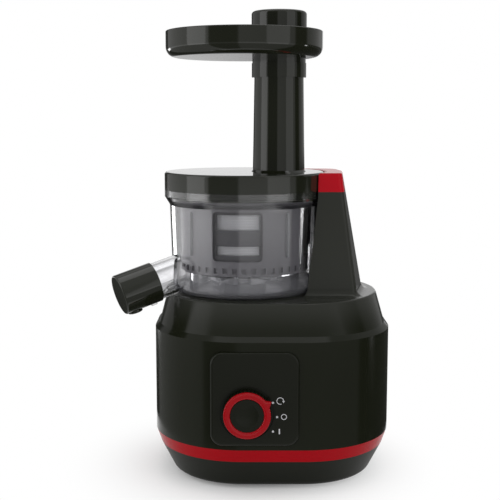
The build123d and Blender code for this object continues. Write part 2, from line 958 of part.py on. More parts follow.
dial_cap_front = dial_height - dial_cap_drop
with BuildPart() as dial_cap:
    extrude(disc(front_plane(dial_x, dial_z, dial_seat), ring_inner - seat_gap), amount=dial_cap_thickness)
    dish_centre = panel_face - dial_cap_front - dial_cap_dish_radius + dial_cap_dish_depth
    with Locations((dial_x, dish_centre, dial_z)):
        Sphere(dial_cap_dish_radius, mode=Mode.SUBTRACT)
dial_cap.part.label = "dial_cap"
export_step(dial_cap.part, "parts/dial_cap.step")

# Rotary switch behind the wall, with its threaded bushing through the wall and panel
switch_front = -panel_rise - shell_wall - switch_gap
bushing_front = -dial_well_depth - slip_gap
with BuildPart() as rotary_switch:
    with BuildSketch(front_plane(dial_x, dial_z, switch_front)):
        RectangleRounded(switch_size, switch_size, switch_corner)
    extrude(amount=-switch_depth)
    extrude(
        disc(front_plane(dial_x, dial_z, switch_front), bushing_radius),
        amount=bushing_front - switch_front,
    )
    extrude(
        disc(front_plane(dial_x, dial_z, bushing_front), stem_radius + running_gap),
        amount=switch_front - stem_depth - bushing_front,
        mode=Mode.SUBTRACT,
    )
rotary_switch.part.label = "rotary_switch"
export_step(rotary_switch.part, "parts/rotary_switch.step")

stem_back = switch_front - stem_depth + slip_gap
with BuildPart() as switch_stem:
    extrude(
        disc(front_plane(dial_x, dial_z, stem_back), stem_radius),
        amount=dial_foot + stem_socket - slip_gap - stem_back,
    )
switch_stem.part.label = "switch_stem"
export_step(switch_stem.part, "parts/switch_stem.step")

with BuildPart() as cord_gland:
    gland_plane = Plane((base_x, base_back, gland_z), x_dir=(-1, 0, 0), z_dir=(0, 1, 0))
    extrude(disc(gland_plane, gland_flange_radius), amount=gland_flange)
    extrude(disc(gland_plane, gland_radius), amount=-shell_wall - gland_reach)
    extrude(
        disc(gland_plane.offset(gland_flange), gland_bore),
        amount=-gland_flange - shell_wall - gland_reach,
        mode=Mode.SUBTRACT,
    )
cord_gland.part.label = "cord_gland"
export_step(cord_gland.part, "parts/cord_gland.step")


def gearbox_outline(height, margin):
    with BuildSketch(Plane.XY.offset(height)) as sketch:
        with Locations((drive_x, drive_y)):
            Circle(output_room + margin)
        with Locations((idler_x, idler_y)):
            Circle(idler_room + margin)
        make_hull()
    return sketch.sketch


motor_centre = [(motor_x, motor_y)]
idler_centre = [(idler_x, idler_y)]
shaft_bush_radius = shaft_radius + running_gap + shaft_bush_wall
motor_bush_radius = motor_shaft_radius + running_gap + motor_bush_wall

with BuildPart() as gearbox_case:
    extrude(gearbox_outline(case_foot, case_wall), amount=case_top - case_foot)
    extrude(discs(case_foot, case_ears, ear_radius), amount=case_top - case_foot)
    with BuildSketch(Plane((motor_x, motor_y, case_foot))):
        RectangleRounded(motor_flange, motor_flange, stator_corner)
    extrude(amount=case_floor)
    extrude(discs(stator_top, motor_bolt_places, motor_leg_radius), amount=case_foot - stator_top)
    extrude(gearbox_outline(case_floor_top, 0), amount=case_top - case_floor_top, mode=Mode.SUBTRACT)
    extrude(
        disc(drive_level(case_foot), shaft_bush_radius + seat_gap),
        amount=case_floor,
        mode=Mode.SUBTRACT,
    )
    extrude(
        discs(case_foot, motor_centre, motor_bush_radius + seat_gap),
        amount=case_floor,
        mode=Mode.SUBTRACT,
    )
    extrude(
        discs(case_foot, idler_centre, idler_pin_radius + running_gap),
        amount=case_floor,
        mode=Mode.SUBTRACT,
    )
    extrude(
        discs(stator_top, motor_bolt_places, motor_bolt_radius + running_gap),
        amount=case_floor_top - stator_top,
        mode=Mode.SUBTRACT,
    )
    extrude(
        discs(case_foot, case_ears, screw_radius + slip_gap),
        amount=case_top - case_foot,
        mode=Mode.SUBTRACT,
    )
gearbox_case.part.label = "gearbox_case"
export_step(gearbox_case.part, "parts/gearbox_case.step")

with BuildPart() as gearbox_cover:
    extrude(gearbox_outline(case_top, case_wall), amount=cover_thickness)
    extrude(discs(case_top, case_ears, ear_radius), amount=cover_thickness)
    extrude(disc(drive_level(cover_top), bearing_radius + neck_wall), amount=neck_top - cover_top)
    extrude(
        disc(drive_level(bearing_foot), bearing_radius + running_gap),
        amount=neck_top - bearing_foot,
        mode=Mode.SUBTRACT,
    )
    extrude(
        disc(drive_level(case_top), shaft_bush_radius),
        amount=bearing_foot - case_top,
        mode=Mode.SUBTRACT,
    )
    extrude(
        discs(case_top, idler_centre, idler_pin_radius + running_gap),
        amount=cover_thickness,
        mode=Mode.SUBTRACT,
    )
    extrude(
        discs(case_top, deck_bosses, screw_radius + slip_gap),
        amount=cover_thickness,
        mode=Mode.SUBTRACT,
    )
    extrude(
        discs(case_top, case_ears, screw_radius + running_gap),
        amount=cover_thickness,
        mode=Mode.SUBTRACT,
    )
gearbox_cover.part.label = "gearbox_cover"
export_step(gearbox_cover.part, "parts/gearbox_cover.step")

with BuildPart() as case_screws:
    extrude(discs(case_foot - screw_head_height, case_ears, screw_head_radius), amount=screw_head_height)
    extrude(discs(case_foot, case_ears, screw_radius), amount=case_top + case_screw_bite - case_foot)
case_screws.part.label = "case_screws"
export_step(case_screws.part, "parts/case_screws.step")

with BuildPart() as cover_screws:
    extrude(discs(case_top - screw_head_height, deck_bosses, screw_head_radius), amount=screw_head_height)
    extrude(discs(case_top, deck_bosses, screw_radius), amount=cover_thickness + screw_bite - axial_gap)
cover_screws.part.label = "cover_screws"
export_step(cover_screws.part, "parts/cover_screws.step")

with BuildPart() as idler_pin:
    extrude(discs(case_foot, idler_centre, idler_pin_radius), amount=cover_top - case_foot)
idler_pin.part.label = "idler_pin"
export_step(idler_pin.part, "parts/idler_pin.step")

idler_level = Plane((idler_x, idler_y, 0))
idler_pinion_phase = idler_angle + 180 + 180 / idler_pinion_teeth
idler_pinion_level = idler_level.offset(stage_one_top)
with BuildPart() as idler_gear:
    extrude(
        outer_gear(idler_level.offset(stage_one_foot), idler_gear_teeth, reduction_one_module, motor_angle),
        amount=stage_one_width,
    )
    extrude(
        outer_gear(idler_pinion_level, idler_pinion_teeth, reduction_two_module, idler_pinion_phase),
        amount=stage_two_top - stage_one_top,
    )
    hub_foot = case_floor_top + axial_gap
    extrude(discs(hub_foot, idler_centre, idler_hub_radius), amount=case_top - axial_gap - hub_foot)
    extrude(
        discs(hub_foot, idler_centre, idler_pin_radius + running_gap),
        amount=case_top - hub_foot,
        mode=Mode.SUBTRACT,
    )
idler_gear.part.label = "idler_gear"
export_step(idler_gear.part, "parts/idler_gear.step")

with BuildPart() as output_gear:
    extrude(
        outer_gear(drive_level(stage_two_foot), output_teeth, reduction_two_module, idler_angle),
        amount=stage_two_width,
    )
    extrude(disc(drive_level(stage_two_top), output_hub_radius), amount=output_hub_rise)
    extrude(
        disc(drive_level(stage_two_foot), shaft_radius + running_gap),
        amount=stage_two_width + output_hub_rise,
        mode=Mode.SUBTRACT,
    )
output_gear.part.label = "output_gear"
export_step(output_gear.part, "parts/output_gear.step")

with BuildPart() as drive_shaft:
    extrude(disc(drive_level(case_foot), shaft_radius), amount=hex_foot - case_foot)
    with BuildSketch(drive_level(hex_foot)):
        RegularPolygon(shaft_hex / 2, hex_sides, major_radius=False)
    extrude(amount=hex_top - hex_foot)
    chamfer(drive_shaft.faces().sort_by(Axis.Z)[-1].edges(), shaft_edge)
drive_shaft.part.label = "drive_shaft"
export_step(drive_shaft.part, "parts/drive_shaft.step")

shaft_bush_rim = shaft_bush_radius + shaft_bush_flange_wall
with BuildPart() as shaft_bush:
    extrude(ring(drive_level(case_foot), shaft_bush_radius, shaft_radius + running_gap), amount=case_floor)
    extrude(
        ring(drive_level(case_floor_top), shaft_bush_rim, shaft_radius + running_gap),
        amount=shaft_bush_flange,
    )
shaft_bush.part.label = "shaft_bush"
export_step(shaft_bush.part, "parts/shaft_bush.step")

with BuildPart() as shaft_bearing:
    extrude(
        ring(drive_level(bearing_foot), bearing_radius, shaft_radius + running_gap),
        amount=bearing_height,
    )
shaft_bearing.part.label = "shaft_bearing"
export_step(shaft_bearing.part, "parts/shaft_bearing.step")

with BuildPart() as shaft_seal:
    extrude(ring(drive_level(deck_under), seal_radius, shaft_radius + running_gap), amount=seal_height)
shaft_seal.part.label = "shaft_seal"
export_step(shaft_seal.part, "parts/shaft_seal.step")

with BuildPart() as motor_stator:
    with BuildSketch(Plane((motor_x, motor_y, stator_foot))):
        RectangleRounded(stator_size, stator_size, stator_corner)
        Circle(stator_bore, mode=Mode.SUBTRACT)
    extrude(amount=stator_height)
    extrude(
        discs(stator_foot, motor_bolt_places, motor_bolt_radius + seat_gap),
        amount=stator_height,
        mode=Mode.SUBTRACT,
    )
motor_stator.part.label = "motor_stator"
export_step(motor_stator.part, "parts/motor_stator.step")

with BuildPart() as motor_windings:
    for coil_foot in (stator_foot - coil_height, stator_top):
        extrude(ring(Plane((motor_x, motor_y, coil_foot)), coil_outer, coil_inner), amount=coil_height)
    coil_rims = motor_windings.edges().filter_by(GeomType.CIRCLE).group_by(Axis.Z)
    fillet(coil_rims[0] + coil_rims[-1], coil_edge)
motor_windings.part.label = "motor_windings"
export_step(motor_windings.part, "parts/motor_windings.step")

with BuildPart() as motor_bracket:
    with BuildSketch(Plane((motor_x, motor_y, bracket_foot))):
        Circle(bracket_hub_radius)
        for angle in motor_bar_angles:
            SlotCenterToCenter(2 * motor_bolt_spread, bracket_bar_width, rotation=angle)
        Circle(motor_bush_radius + seat_gap, mode=Mode.SUBTRACT)
    extrude(amount=bracket_thickness)
    extrude(discs(bracket_top, motor_bolt_places, motor_leg_radius), amount=stator_foot - bracket_top)
    extrude(
        discs(bracket_foot, motor_bolt_places, motor_bolt_radius + seat_gap),
        amount=stator_foot - bracket_foot,
        mode=Mode.SUBTRACT,
    )
motor_bracket.part.label = "motor_bracket"
export_step(motor_bracket.part, "parts/motor_bracket.step")

with BuildPart() as motor_bolts:
    extrude(
        discs(bracket_foot - motor_bolt_head_height, motor_bolt_places, motor_bolt_head_radius),
        amount=motor_bolt_head_height,
    )
    extrude(
        discs(bracket_foot, motor_bolt_places, motor_bolt_radius),
        amount=case_floor_top - axial_gap - bracket_foot,
    )
motor_bolts.part.label = "motor_bolts"
export_step(motor_bolts.part, "parts/motor_bolts.step")

with BuildPart() as motor_bushes:
    for bush_foot in (bracket_foot, case_floor_top - motor_bush_height):
        bush_plane = Plane((motor_x, motor_y, bush_foot))
        extrude(
            ring(bush_plane, motor_bush_radius, motor_shaft_radius + running_gap),
            amount=motor_bush_height,
        )
motor_bushes.part.label = "motor_bushes"
export_step(motor_bushes.part, "parts/motor_bushes.step")

motor_pinion_phase = motor_angle + 180 + 180 / motor_pinion_teeth
pinion_foot = case_floor_top + pinion_foot_gap
with BuildPart() as rotor_shaft:
    extrude(discs(fan_foot, motor_centre, motor_shaft_radius), amount=stage_one_top - fan_foot)
    pinion_plane = Plane((motor_x, motor_y, pinion_foot))
    extrude(
        outer_gear(pinion_plane, motor_pinion_teeth, reduction_one_module, motor_pinion_phase),
        amount=stage_one_top - pinion_foot,
    )
rotor_shaft.part.label = "rotor_shaft"
export_step(rotor_shaft.part, "parts/rotor_shaft.step")

with BuildPart() as rotor_core:
    core_plane = Plane((motor_x, motor_y, stator_foot))
    extrude(ring(core_plane, stator_bore - air_gap, motor_shaft_radius + running_gap), amount=stator_height)
rotor_core.part.label = "rotor_core"
export_step(rotor_core.part, "parts/rotor_core.step")

with BuildPart() as cooling_fan:
    extrude(discs(fan_foot, motor_centre, fan_hub_radius), amount=fan_height)
    extrude(discs(fan_top - fan_disc, motor_centre, fan_radius), amount=fan_disc)
    with BuildSketch(Plane((motor_x, motor_y, fan_foot))):
        with PolarLocations((fan_hub_radius + fan_radius) / 2 - fan_blade_width, fan_blade_count):
            Rectangle(fan_radius - fan_hub_radius, fan_blade_width)
    extrude(amount=fan_height)
    extrude(
        discs(fan_foot, motor_centre, motor_shaft_radius + running_gap),
        amount=fan_height,
        mode=Mode.SUBTRACT,
    )
cooling_fan.part.label = "cooling_fan"
export_step(cooling_fan.part, "parts/cooling_fan.step")

chute_turn = radians(chute_angle)
chute_section = Plane(
    (drive_x, drive_y, 0),
    x_dir=(cos(chute_turn), sin(chute_turn), 0),
    z_dir=(sin(chute_turn), -cos(chute_turn), 0),
)
port_line = Edge.make_circle(pinion_reach, start_angle=-port_arc / 2, end_angle=port_arc / 2)
pinion_centre = [(pinion_x, pinion_y)]


def pulp_port(height, width):
    with BuildSketch(turned_level(chute_angle, height)) as sketch:
        SlotArc(port_line, width)
    return sketch.sketch


def chute_box(height, start, end, inset):
    with BuildSketch(turned_level(chute_angle, height)) as sketch:
        with Locations(((start + end) / 2, 0)):
            Rectangle(end - start, chute_width - 2 * inset)
    return sketch.sketch


def plug_outline(height, inset):
    with BuildSketch(turned_level(chute_angle, height)) as sketch:
        with Locations((pinion_reach + plug_width / 2, 0)):
            RectangleRounded(plug_length - 2 * inset, plug_width - 2 * inset, plug_corner - inset)
    return sketch.sketch


bowl_outside = [
    (0, deck_top),
    (bowl_base_radius, deck_top),
    (bowl_neck_radius, flare_foot),
    (flange_radius, flare_top),
    (flange_radius, rim_top),
    (spigot_radius, rim_top),
    (spigot_radius, spigot_top),
    (0, spigot_top),
]
bowl_inside = [
    (0, spigot_top + spigot_height),
    (spigot_inner, spigot_top + spigot_height),
    (spigot_inner, ledge_height),
    (bowl_inner_top, ledge_height),
    (bowl_inner_foot, gutter_floor),
    (plateau_radius, gutter_floor),
    (plateau_radius, plateau_top),
    (sleeve_outer, plateau_top),
    (sleeve_outer, sleeve_top),
    (0, sleeve_top),
]

# Clear bowl: a gutter round a raised floor, with the juice spout and the pulp chute
with BuildPart() as juice_bowl:
    revolve(profile(drive_section, bowl_outside, [0, bowl_corner, 0, 0, 0, 0, 0, 0]), axis=drive_axis)
    extrude(disc(spout_plane(spout_start), spout_radius), amount=drip_cap_start - spout_start)
    inside_corners = [0, 0, 0, 0, bowl_corner - bowl_wall, 0, 0, 0, 0, 0]
    revolve(profile(drive_section, bowl_inside, inside_corners), axis=drive_axis, mode=Mode.SUBTRACT)
    extrude(disc(drive_level(deck_top), sleeve_inner), amount=sleeve_top - deck_top, mode=Mode.SUBTRACT)
    extrude(
        disc(drive_level(deck_top), plateau_radius - bowl_wall),
        amount=plateau_under - deck_top,
        mode=Mode.SUBTRACT,
    )
    extrude(
        disc(spout_plane(bore_start), spout_bore),
        amount=drip_cap_start - bore_start,
        mode=Mode.SUBTRACT,
    )
    extrude(chute_box(chute_foot, chute_start, chute_joint, 0), amount=chute_top - chute_foot)
    extrude(
        pulp_port(plateau_under, port_width + 2 * port_wall),
        amount=strainer_floor - slip_gap - plateau_under,
    )
    extrude(
        chute_box(chute_foot + chute_wall, chute_start + chute_wall, chute_joint, chute_wall),
        amount=plateau_under - chute_foot - chute_wall,
        mode=Mode.SUBTRACT,
    )
    extrude(pulp_port(plateau_under, port_width), amount=strainer_floor - plateau_under, mode=Mode.SUBTRACT)
    extrude(plug_outline(chute_foot, 0), amount=chute_wall, mode=Mode.SUBTRACT)
    extrude(
        discs(plateau_under - pinion_boss_depth, pinion_centre, pinion_boss_radius),
        amount=pinion_boss_depth,
    )
    extrude(
        discs(plateau_under - pinion_boss_depth, pinion_centre, pinion_pin_radius + running_gap),
        amount=pinion_boss_depth + bowl_wall,
        mode=Mode.SUBTRACT,
    )
juice_bowl.part.label = "juice_bowl"
export_step(juice_bowl.part, "parts/juice_bowl.step")

# Closed end of the spout, welded on where the drip cap hides the joint
with BuildPart() as spout_nozzle:
    extrude(disc(spout_plane(drip_cap_start), nozzle_radius), amount=nozzle_end - drip_cap_start)
    with BuildSketch(spout_plane(lug_reach - lug_size / 2)):
        with Locations((0, -(nozzle_radius + drip_cap_radius + lug_rise - drip_cap_wall) / 2)):
            Rectangle(lug_size, drip_cap_radius + lug_rise + drip_cap_wall - nozzle_radius)
    extrude(amount=lug_size)
    extrude(
        disc(spout_plane(drip_cap_start), spout_bore),
        amount=nozzle_end - nozzle_end_wall - drip_cap_start,
        mode=Mode.SUBTRACT,
    )
    o_ring_groove = ring(
        spout_plane(o_ring_reach - o_ring_width / 2 - running_gap),
        nozzle_radius + slip_gap,
        nozzle_radius - o_ring_depth,
    )
    extrude(o_ring_groove, amount=o_ring_width + 2 * running_gap, mode=Mode.SUBTRACT)
    extrude(disc(spout_down(outlet_reach), outlet_radius), amount=drip_cap_radius, mode=Mode.SUBTRACT)
spout_nozzle.part.label = "spout_nozzle"
export_step(spout_nozzle.part, "parts/spout_nozzle.step")

# Outer length of the pulp chute, welded to the stub on the bowl
with BuildPart() as pulp_chute:
    extrude(chute_box(chute_foot, chute_joint, chute_end, 0), amount=chute_top - chute_foot)
    extrude(
        chute_box(chute_foot + chute_wall, chute_joint, chute_end, chute_wall),
        amount=plateau_under - chute_foot - chute_wall,
        mode=Mode.SUBTRACT,
    )
    mouth_cut = [
        (chute_end - chute_mouth_slant, chute_foot),
        (chute_end + chute_wall, chute_foot),
        (chute_end + chute_wall, chute_top),
        (chute_end, chute_top),
    ]
    extrude(profile(chute_section, mouth_cut, 0), amount=chute_width, both=True, mode=Mode.SUBTRACT)
pulp_chute.part.label = "pulp_chute"
export_step(pulp_chute.part, "parts/pulp_chute.step")

with BuildPart() as sleeve_seal:
    extrude(ring(drive_level(sleeve_top), sleeve_outer, sleeve_inner), amount=sleeve_seal_height)
sleeve_seal.part.label = "sleeve_seal"
export_step(sleeve_seal.part, "parts/sleeve_seal.step")

with BuildPart() as pulp_plug:
    extrude(plug_outline(chute_foot, seat_gap), amount=plug_height)
pulp_plug.part.label = "pulp_plug"
export_step(pulp_plug.part, "parts/pulp_plug.step")

with BuildPart() as pinion_pin:
    pin_foot = plateau_under - pinion_boss_depth
    extrude(discs(pin_foot, pinion_centre, pinion_pin_radius), amount=gear_top + slip_gap - pin_foot)
pinion_pin.part.label = "pinion_pin"
export_step(pinion_pin.part, "parts/pinion_pin.step")

# Quarter-turn drip cap: its slot rides on the spout's lug, its outlet turns away from the hole in the spout
with BuildPart() as drip_cap:
    extrude(
        disc(spout_plane(drip_cap_start + slip_gap), drip_cap_radius),
        amount=drip_cap_length - slip_gap,
    )
    spout_axis = Axis(spout_plane(0).origin, spout_plane(0).z_dir)
    fillet(drip_cap.faces().sort_by(spout_axis)[-1].edges(), drip_cap_edge)
    extrude(
        disc(spout_down(outlet_reach), outlet_radius + outlet_lip),
        amount=drip_cap_radius + outlet_lip_rise,
    )
    extrude(
        disc(spout_plane(drip_cap_start), drip_cap_radius - drip_cap_wall),
        amount=drip_cap_length - drip_cap_end_wall,
        mode=Mode.SUBTRACT,
    )
    extrude(disc(spout_down(outlet_reach), outlet_radius), amount=2 * drip_cap_radius, mode=Mode.SUBTRACT)
    slot_line = Edge.make_circle(
        drip_cap_radius - drip_cap_wall / 2,
        start_angle=-90 - drip_cap_turn,
        end_angle=-90,
    )
    slot_start = lug_reach - (lug_size + lug_slot_gap) / 2
    with BuildSketch(spout_plane(slot_start)):
        SlotArc(slot_line, lug_slot_height)
    extrude(amount=lug_size + lug_slot_gap, mode=Mode.SUBTRACT)
    with BuildSketch(spout_plane(drip_cap_start)):
        with PolarLocations(drip_cap_radius - drip_cap_wall / 2, 1, start_angle=-90 - drip_cap_turn):
            Rectangle(lug_slot_height, lug_size + lug_slot_gap)
    extrude(amount=lug_reach - drip_cap_start, mode=Mode.SUBTRACT)
drip_cap.part.label = "drip_cap"
export_step(drip_cap.part, "parts/drip_cap.step")

with BuildPart() as drip_o_ring:
    o_ring = ring(
        spout_plane(o_ring_reach - o_ring_width / 2),
        nozzle_radius + slip_gap - running_gap,
        nozzle_radius - o_ring_depth + running_gap,
    )
    extrude(o_ring, amount=o_ring_width)
drip_o_ring.part.label = "drip_o_ring"
export_step(drip_o_ring.part, "parts/drip_o_ring.step")

pinion_level = Plane((pinion_x, pinion_y, gear_foot))
pinion_phase = pinion_angle + 180 + 180 / pinion_teeth
with BuildPart() as wiper_pinion:
    extrude(outer_gear(pinion_level, pinion_teeth, bowl_module, pinion_phase), amount=gear_thickness)
    extrude(disc(pinion_level, pinion_pin_radius + running_gap), amount=gear_thickness, mode=Mode.SUBTRACT)
wiper_pinion.part.label = "wiper_pinion"
export_step(wiper_pinion.part, "parts/wiper_pinion.step")

with BuildPart() as strainer_frame:
    extrude(ring(drive_level(strainer_floor), strainer_outer, strainer_hole), amount=strainer_floor_wall)
    extrude(ring(drive_level(strainer_floor_top), strainer_outer, strainer_inner), amount=strainer_ring)
    with BuildSketch(drive_level(strainer_floor_top)):
        rib_middle = (strainer_inner + strainer_outer) / 2
        with PolarLocations(rib_middle, strainer_rib_count, start_angle=strainer_rib_turn):
            Rectangle(strainer_outer - strainer_inner, strainer_rib_width)
    extrude(amount=ledge_height - strainer_floor_top)
    extrude(
        ring(drive_level(strainer_band_foot), strainer_outer, strainer_inner),
        amount=strainer_band_height,
    )
    extrude(
        ring(drive_level(ledge_height - strainer_top_ring), strainer_outer, strainer_inner),
        amount=strainer_top_ring,
    )
    extrude(
        ring(drive_level(ledge_height), spigot_inner - slip_gap, strainer_inner),
        amount=strainer_flange_wall,
    )
    extrude(pulp_port(strainer_floor, port_width), amount=strainer_floor_wall, mode=Mode.SUBTRACT)
strainer_frame.part.label = "strainer_frame"
export_step(strainer_frame.part, "parts/strainer_frame.step")

with BuildPart() as strainer_mesh:
    mesh_outer = strainer_inner - mesh_gap
    extrude(
        ring(drive_level(strainer_floor_top), mesh_outer, mesh_outer - mesh_thickness),
        amount=flange_top - strainer_floor_top,
    )
strainer_mesh.part.label = "strainer_mesh"
export_step(strainer_mesh.part, "parts/strainer_mesh.step")

bay_angles = [cage_bay_turn + 360 / cage_bay_count * bay for bay in range(cage_bay_count)]
post_angles = [angle + 180 / cage_bay_count for angle in bay_angles]
cage_inner = cage_radius - cage_wall
blade_inner = strainer_outer + slip_gap

# Wiper cage that turns round the strainer, driven by the ring gear in its foot
with BuildPart() as wiper_cage:
    extrude(disc(drive_level(gear_foot), cage_radius), amount=gear_thickness)
    extrude(
        gear(
            drive_level(gear_foot),
            ring_teeth,
            bowl_module,
            pinion_angle + 180 / ring_teeth,
            -tooth_slack,
            root_share * bowl_module,
            tip_share * bowl_module,
        ),
        amount=gear_thickness,
        mode=Mode.SUBTRACT,
    )
    extrude(ring(drive_level(gear_top), cage_radius, cage_inner), amount=cage_top - gear_top)
    for angle in bay_angles:
        with BuildSketch(radial_plane(angle, plateau_radius / 2, (window_foot + window_top) / 2)):
            RectangleRounded(window_width, window_top - window_foot, window_corner)
        extrude(amount=cage_radius, mode=Mode.SUBTRACT)
    for angle in post_angles:
        with BuildSketch(turned_level(angle, blade_foot)):
            with Locations((cage_radius, 0)):
                Rectangle(2 * cage_wall + notch_depth, blade_thickness + 2 * running_gap)
        extrude(amount=blade_top - blade_foot, mode=Mode.SUBTRACT)
    with BuildSketch(drive_level(notch_foot)):
        with PolarLocations(cage_radius, notch_count):
            Rectangle(2 * notch_depth, notch_width)
    extrude(amount=gear_top - notch_foot, mode=Mode.SUBTRACT)
wiper_cage.part.label = "wiper_cage"
export_step(wiper_cage.part, "parts/wiper_cage.step")

with BuildPart() as wiper_blades:
    for angle in post_angles:
        with BuildSketch(turned_level(angle, blade_foot + running_gap)):
            with Locations(((blade_inner + blade_outer) / 2, 0)):
                Rectangle(blade_outer - blade_inner, blade_thickness)
        extrude(amount=blade_top - blade_foot - 2 * running_gap)
wiper_blades.part.label = "wiper_blades"
export_step(wiper_blades.part, "parts/wiper_blades.step")

# Screw flights: straight ribs twisted about the drive axis, then trimmed to the screw's outline
with BuildPart() as flights:
    with BuildSketch(drive_level(auger_disc_foot)) as flight_section:
        Circle(core_top_radius)
        with PolarLocations(auger_radius_foot / 2, flight_count):
            RectangleRounded(auger_radius_foot + flight_width, flight_width, flight_corner)
    with BuildLine(mode=Mode.PRIVATE) as flight_path:
        Line((drive_x, drive_y, auger_disc_foot), (drive_x, drive_y, auger_flight_top))
    with BuildLine(mode=Mode.PRIVATE) as flight_guide:
        Helix(
            pitch=flight_pitch,
            height=auger_flight_top - auger_disc_foot,
            radius=auger_radius_foot,
            center=(drive_x, drive_y, auger_disc_foot),
        )
    sweep(flight_section.sketch, path=flight_path.line, binormal=flight_guide.line.edge())
    auger_outline = [
        (0, auger_disc_foot),
        (auger_radius_foot, auger_disc_foot),
        (auger_radius_shoulder, auger_shoulder),
        (auger_flight_top_radius, auger_flight_top),
        (0, auger_flight_top),
    ]
    revolve(profile(drive_section, auger_outline, 0), axis=drive_axis, mode=Mode.INTERSECT)

auger_hub_radius = bowl_module * (auger_teeth / 2 - root_share)
with BuildPart() as auger:
    core_outline = [
        (0, gear_top),
        (auger_hub_radius, gear_top),
        (auger_hub_radius, auger_disc_foot),
        (core_foot_radius, auger_disc_foot),
        (core_foot_radius, auger_disc_top),
        (core_top_radius, core_top),
        (pivot_radius, core_top),
        (pivot_radius, pivot_top),
        (0, pivot_top),
    ]
    revolve(profile(drive_section, core_outline, 0), axis=drive_axis)
    add(flights.part)
    extrude(
        outer_gear(drive_level(gear_foot), auger_teeth, bowl_module, pinion_angle),
        amount=gear_thickness,
    )
    socket_foot = sleeve_seal_top + axial_gap
    extrude(
        disc(drive_level(gear_foot), sleeve_outer + sleeve_room),
        amount=socket_foot - gear_foot,
        mode=Mode.SUBTRACT,
    )
    with BuildSketch(drive_level(socket_foot)):
        RegularPolygon(shaft_hex / 2 + socket_gap, hex_sides, major_radius=False)
    extrude(amount=hex_top + socket_spare - socket_foot, mode=Mode.SUBTRACT)
auger.part.label = "auger"
export_step(auger.part, "parts/auger.step")

bush_radius = pivot_radius + running_gap + bush_wall
gasket_top = gasket_foot + gasket_height
magnet_centre = around(drive_x, drive_y, magnet_reach, [magnet_angle])
pipe_wall = [
    (feed_bore, lid_top),
    (tube_foot_radius + tube_flare, lid_top),
    (tube_foot_radius, lid_top + tube_flare),
    (tube_head_radius, tube_step),
    (tube_spigot_radius, tube_step),
    (tube_spigot_radius, tube_top),
    (feed_bore, tube_top),
]

# Lid with its inner ring and pivot boss
with BuildPart() as lid:
    extrude(disc(drive_level(rim_top), flange_radius), amount=lid_top - rim_top)
    fillet(lid.faces().sort_by(Axis.Z)[-1].edges(), lid_edge)
    extrude(
        ring(drive_level(rim_top), spigot_radius + slip_gap, lid_ring_outer),
        amount=gasket_top - rim_top,
        mode=Mode.SUBTRACT,
    )
    extrude(disc(drive_level(rim_top), lid_ring_inner), amount=lid_under - rim_top, mode=Mode.SUBTRACT)
    lid_ring_foot = flange_top + slip_gap
    extrude(
        ring(drive_level(lid_ring_foot), lid_ring_outer, lid_ring_inner),
        amount=rim_top - lid_ring_foot,
    )
    extrude(disc(drive_level(pivot_boss_foot), pivot_boss_radius), amount=lid_under - pivot_boss_foot)
    extrude(
        disc(drive_level(pivot_boss_foot), bush_radius + running_gap),
        amount=bush_top - pivot_boss_foot,
        mode=Mode.SUBTRACT,
    )
    extrude(discs(magnet_foot, magnet_centre, magnet_radius + magnet_wall), amount=lid_under - magnet_foot)
    extrude(
        discs(magnet_foot, magnet_centre, magnet_radius + running_gap),
        amount=magnet_height + slip_gap,
        mode=Mode.SUBTRACT,
    )
    extrude(disc(feed_level(lid_under), feed_bore), amount=lid_plate, mode=Mode.SUBTRACT)
lid.part.label = "lid"
export_step(lid.part, "parts/lid.step")

# Feed pipe, welded to the lid round its hole
with BuildPart() as feed_pipe:
    revolve(profile(feed_section, pipe_wall, 0), axis=feed_axis)
feed_pipe.part.label = "feed_pipe"
export_step(feed_pipe.part, "parts/feed_pipe.step")

with BuildPart() as lid_bush:
    extrude(
        ring(drive_level(pivot_boss_foot), bush_radius, pivot_radius + running_gap),
        amount=bush_top - pivot_boss_foot,
    )
lid_bush.part.label = "lid_bush"
export_step(lid_bush.part, "parts/lid_bush.step")

with BuildPart() as lid_gasket:
    gasket_ring = ring(
        drive_level(gasket_foot),
        spigot_radius + slip_gap - seat_gap,
        lid_ring_outer + seat_gap,
    )
    extrude(gasket_ring, amount=gasket_height)
lid_gasket.part.label = "lid_gasket"
export_step(lid_gasket.part, "parts/lid_gasket.step")

with BuildPart() as lid_magnet:
    extrude(discs(magnet_foot, magnet_centre, magnet_radius), amount=magnet_height)
lid_magnet.part.label = "lid_magnet"
export_step(lid_magnet.part, "parts/lid_magnet.step")

tray_outside = [(0, tray_foot), (tray_radius, tray_foot), (tray_radius, tray_rim), (0, tray_rim)]
tray_inside = [
    (0, tray_floor_top),
    (tray_radius - tray_wall, tray_floor_top),
    (tray_radius - tray_wall, tray_rim),
    (0, tray_rim),
]

# Feed tray with the collar that slips over the tube
with BuildPart() as feed_tray:
    revolve(profile(drive_section, tray_outside, [0, tray_corner, 0, 0]), axis=drive_axis)
    tray_inner_corner = tray_corner - tray_wall
    revolve(
        profile(drive_section, tray_inside, [0, tray_inner_corner, 0, 0]),
        axis=drive_axis,
        mode=Mode.SUBTRACT,
    )
    fillet(feed_tray.faces().sort_by(Axis.Z)[-1].edges(), tray_rim_edge)
    extrude(disc(feed_level(tube_step), collar_radius), amount=collar_top - tube_step)
    extrude(disc(feed_level(collar_top), collar_neck_radius), amount=tray_foot - collar_top)
    extrude(
        disc(feed_level(tube_step), tube_spigot_radius + slip_gap),
        amount=tube_top + slip_gap - tube_step,
        mode=Mode.SUBTRACT,
    )
    extrude(disc(feed_level(tube_step), feed_bore), amount=tray_floor_top - tube_step, mode=Mode.SUBTRACT)
feed_tray.part.label = "feed_tray"
export_step(feed_tray.part, "parts/feed_tray.step")

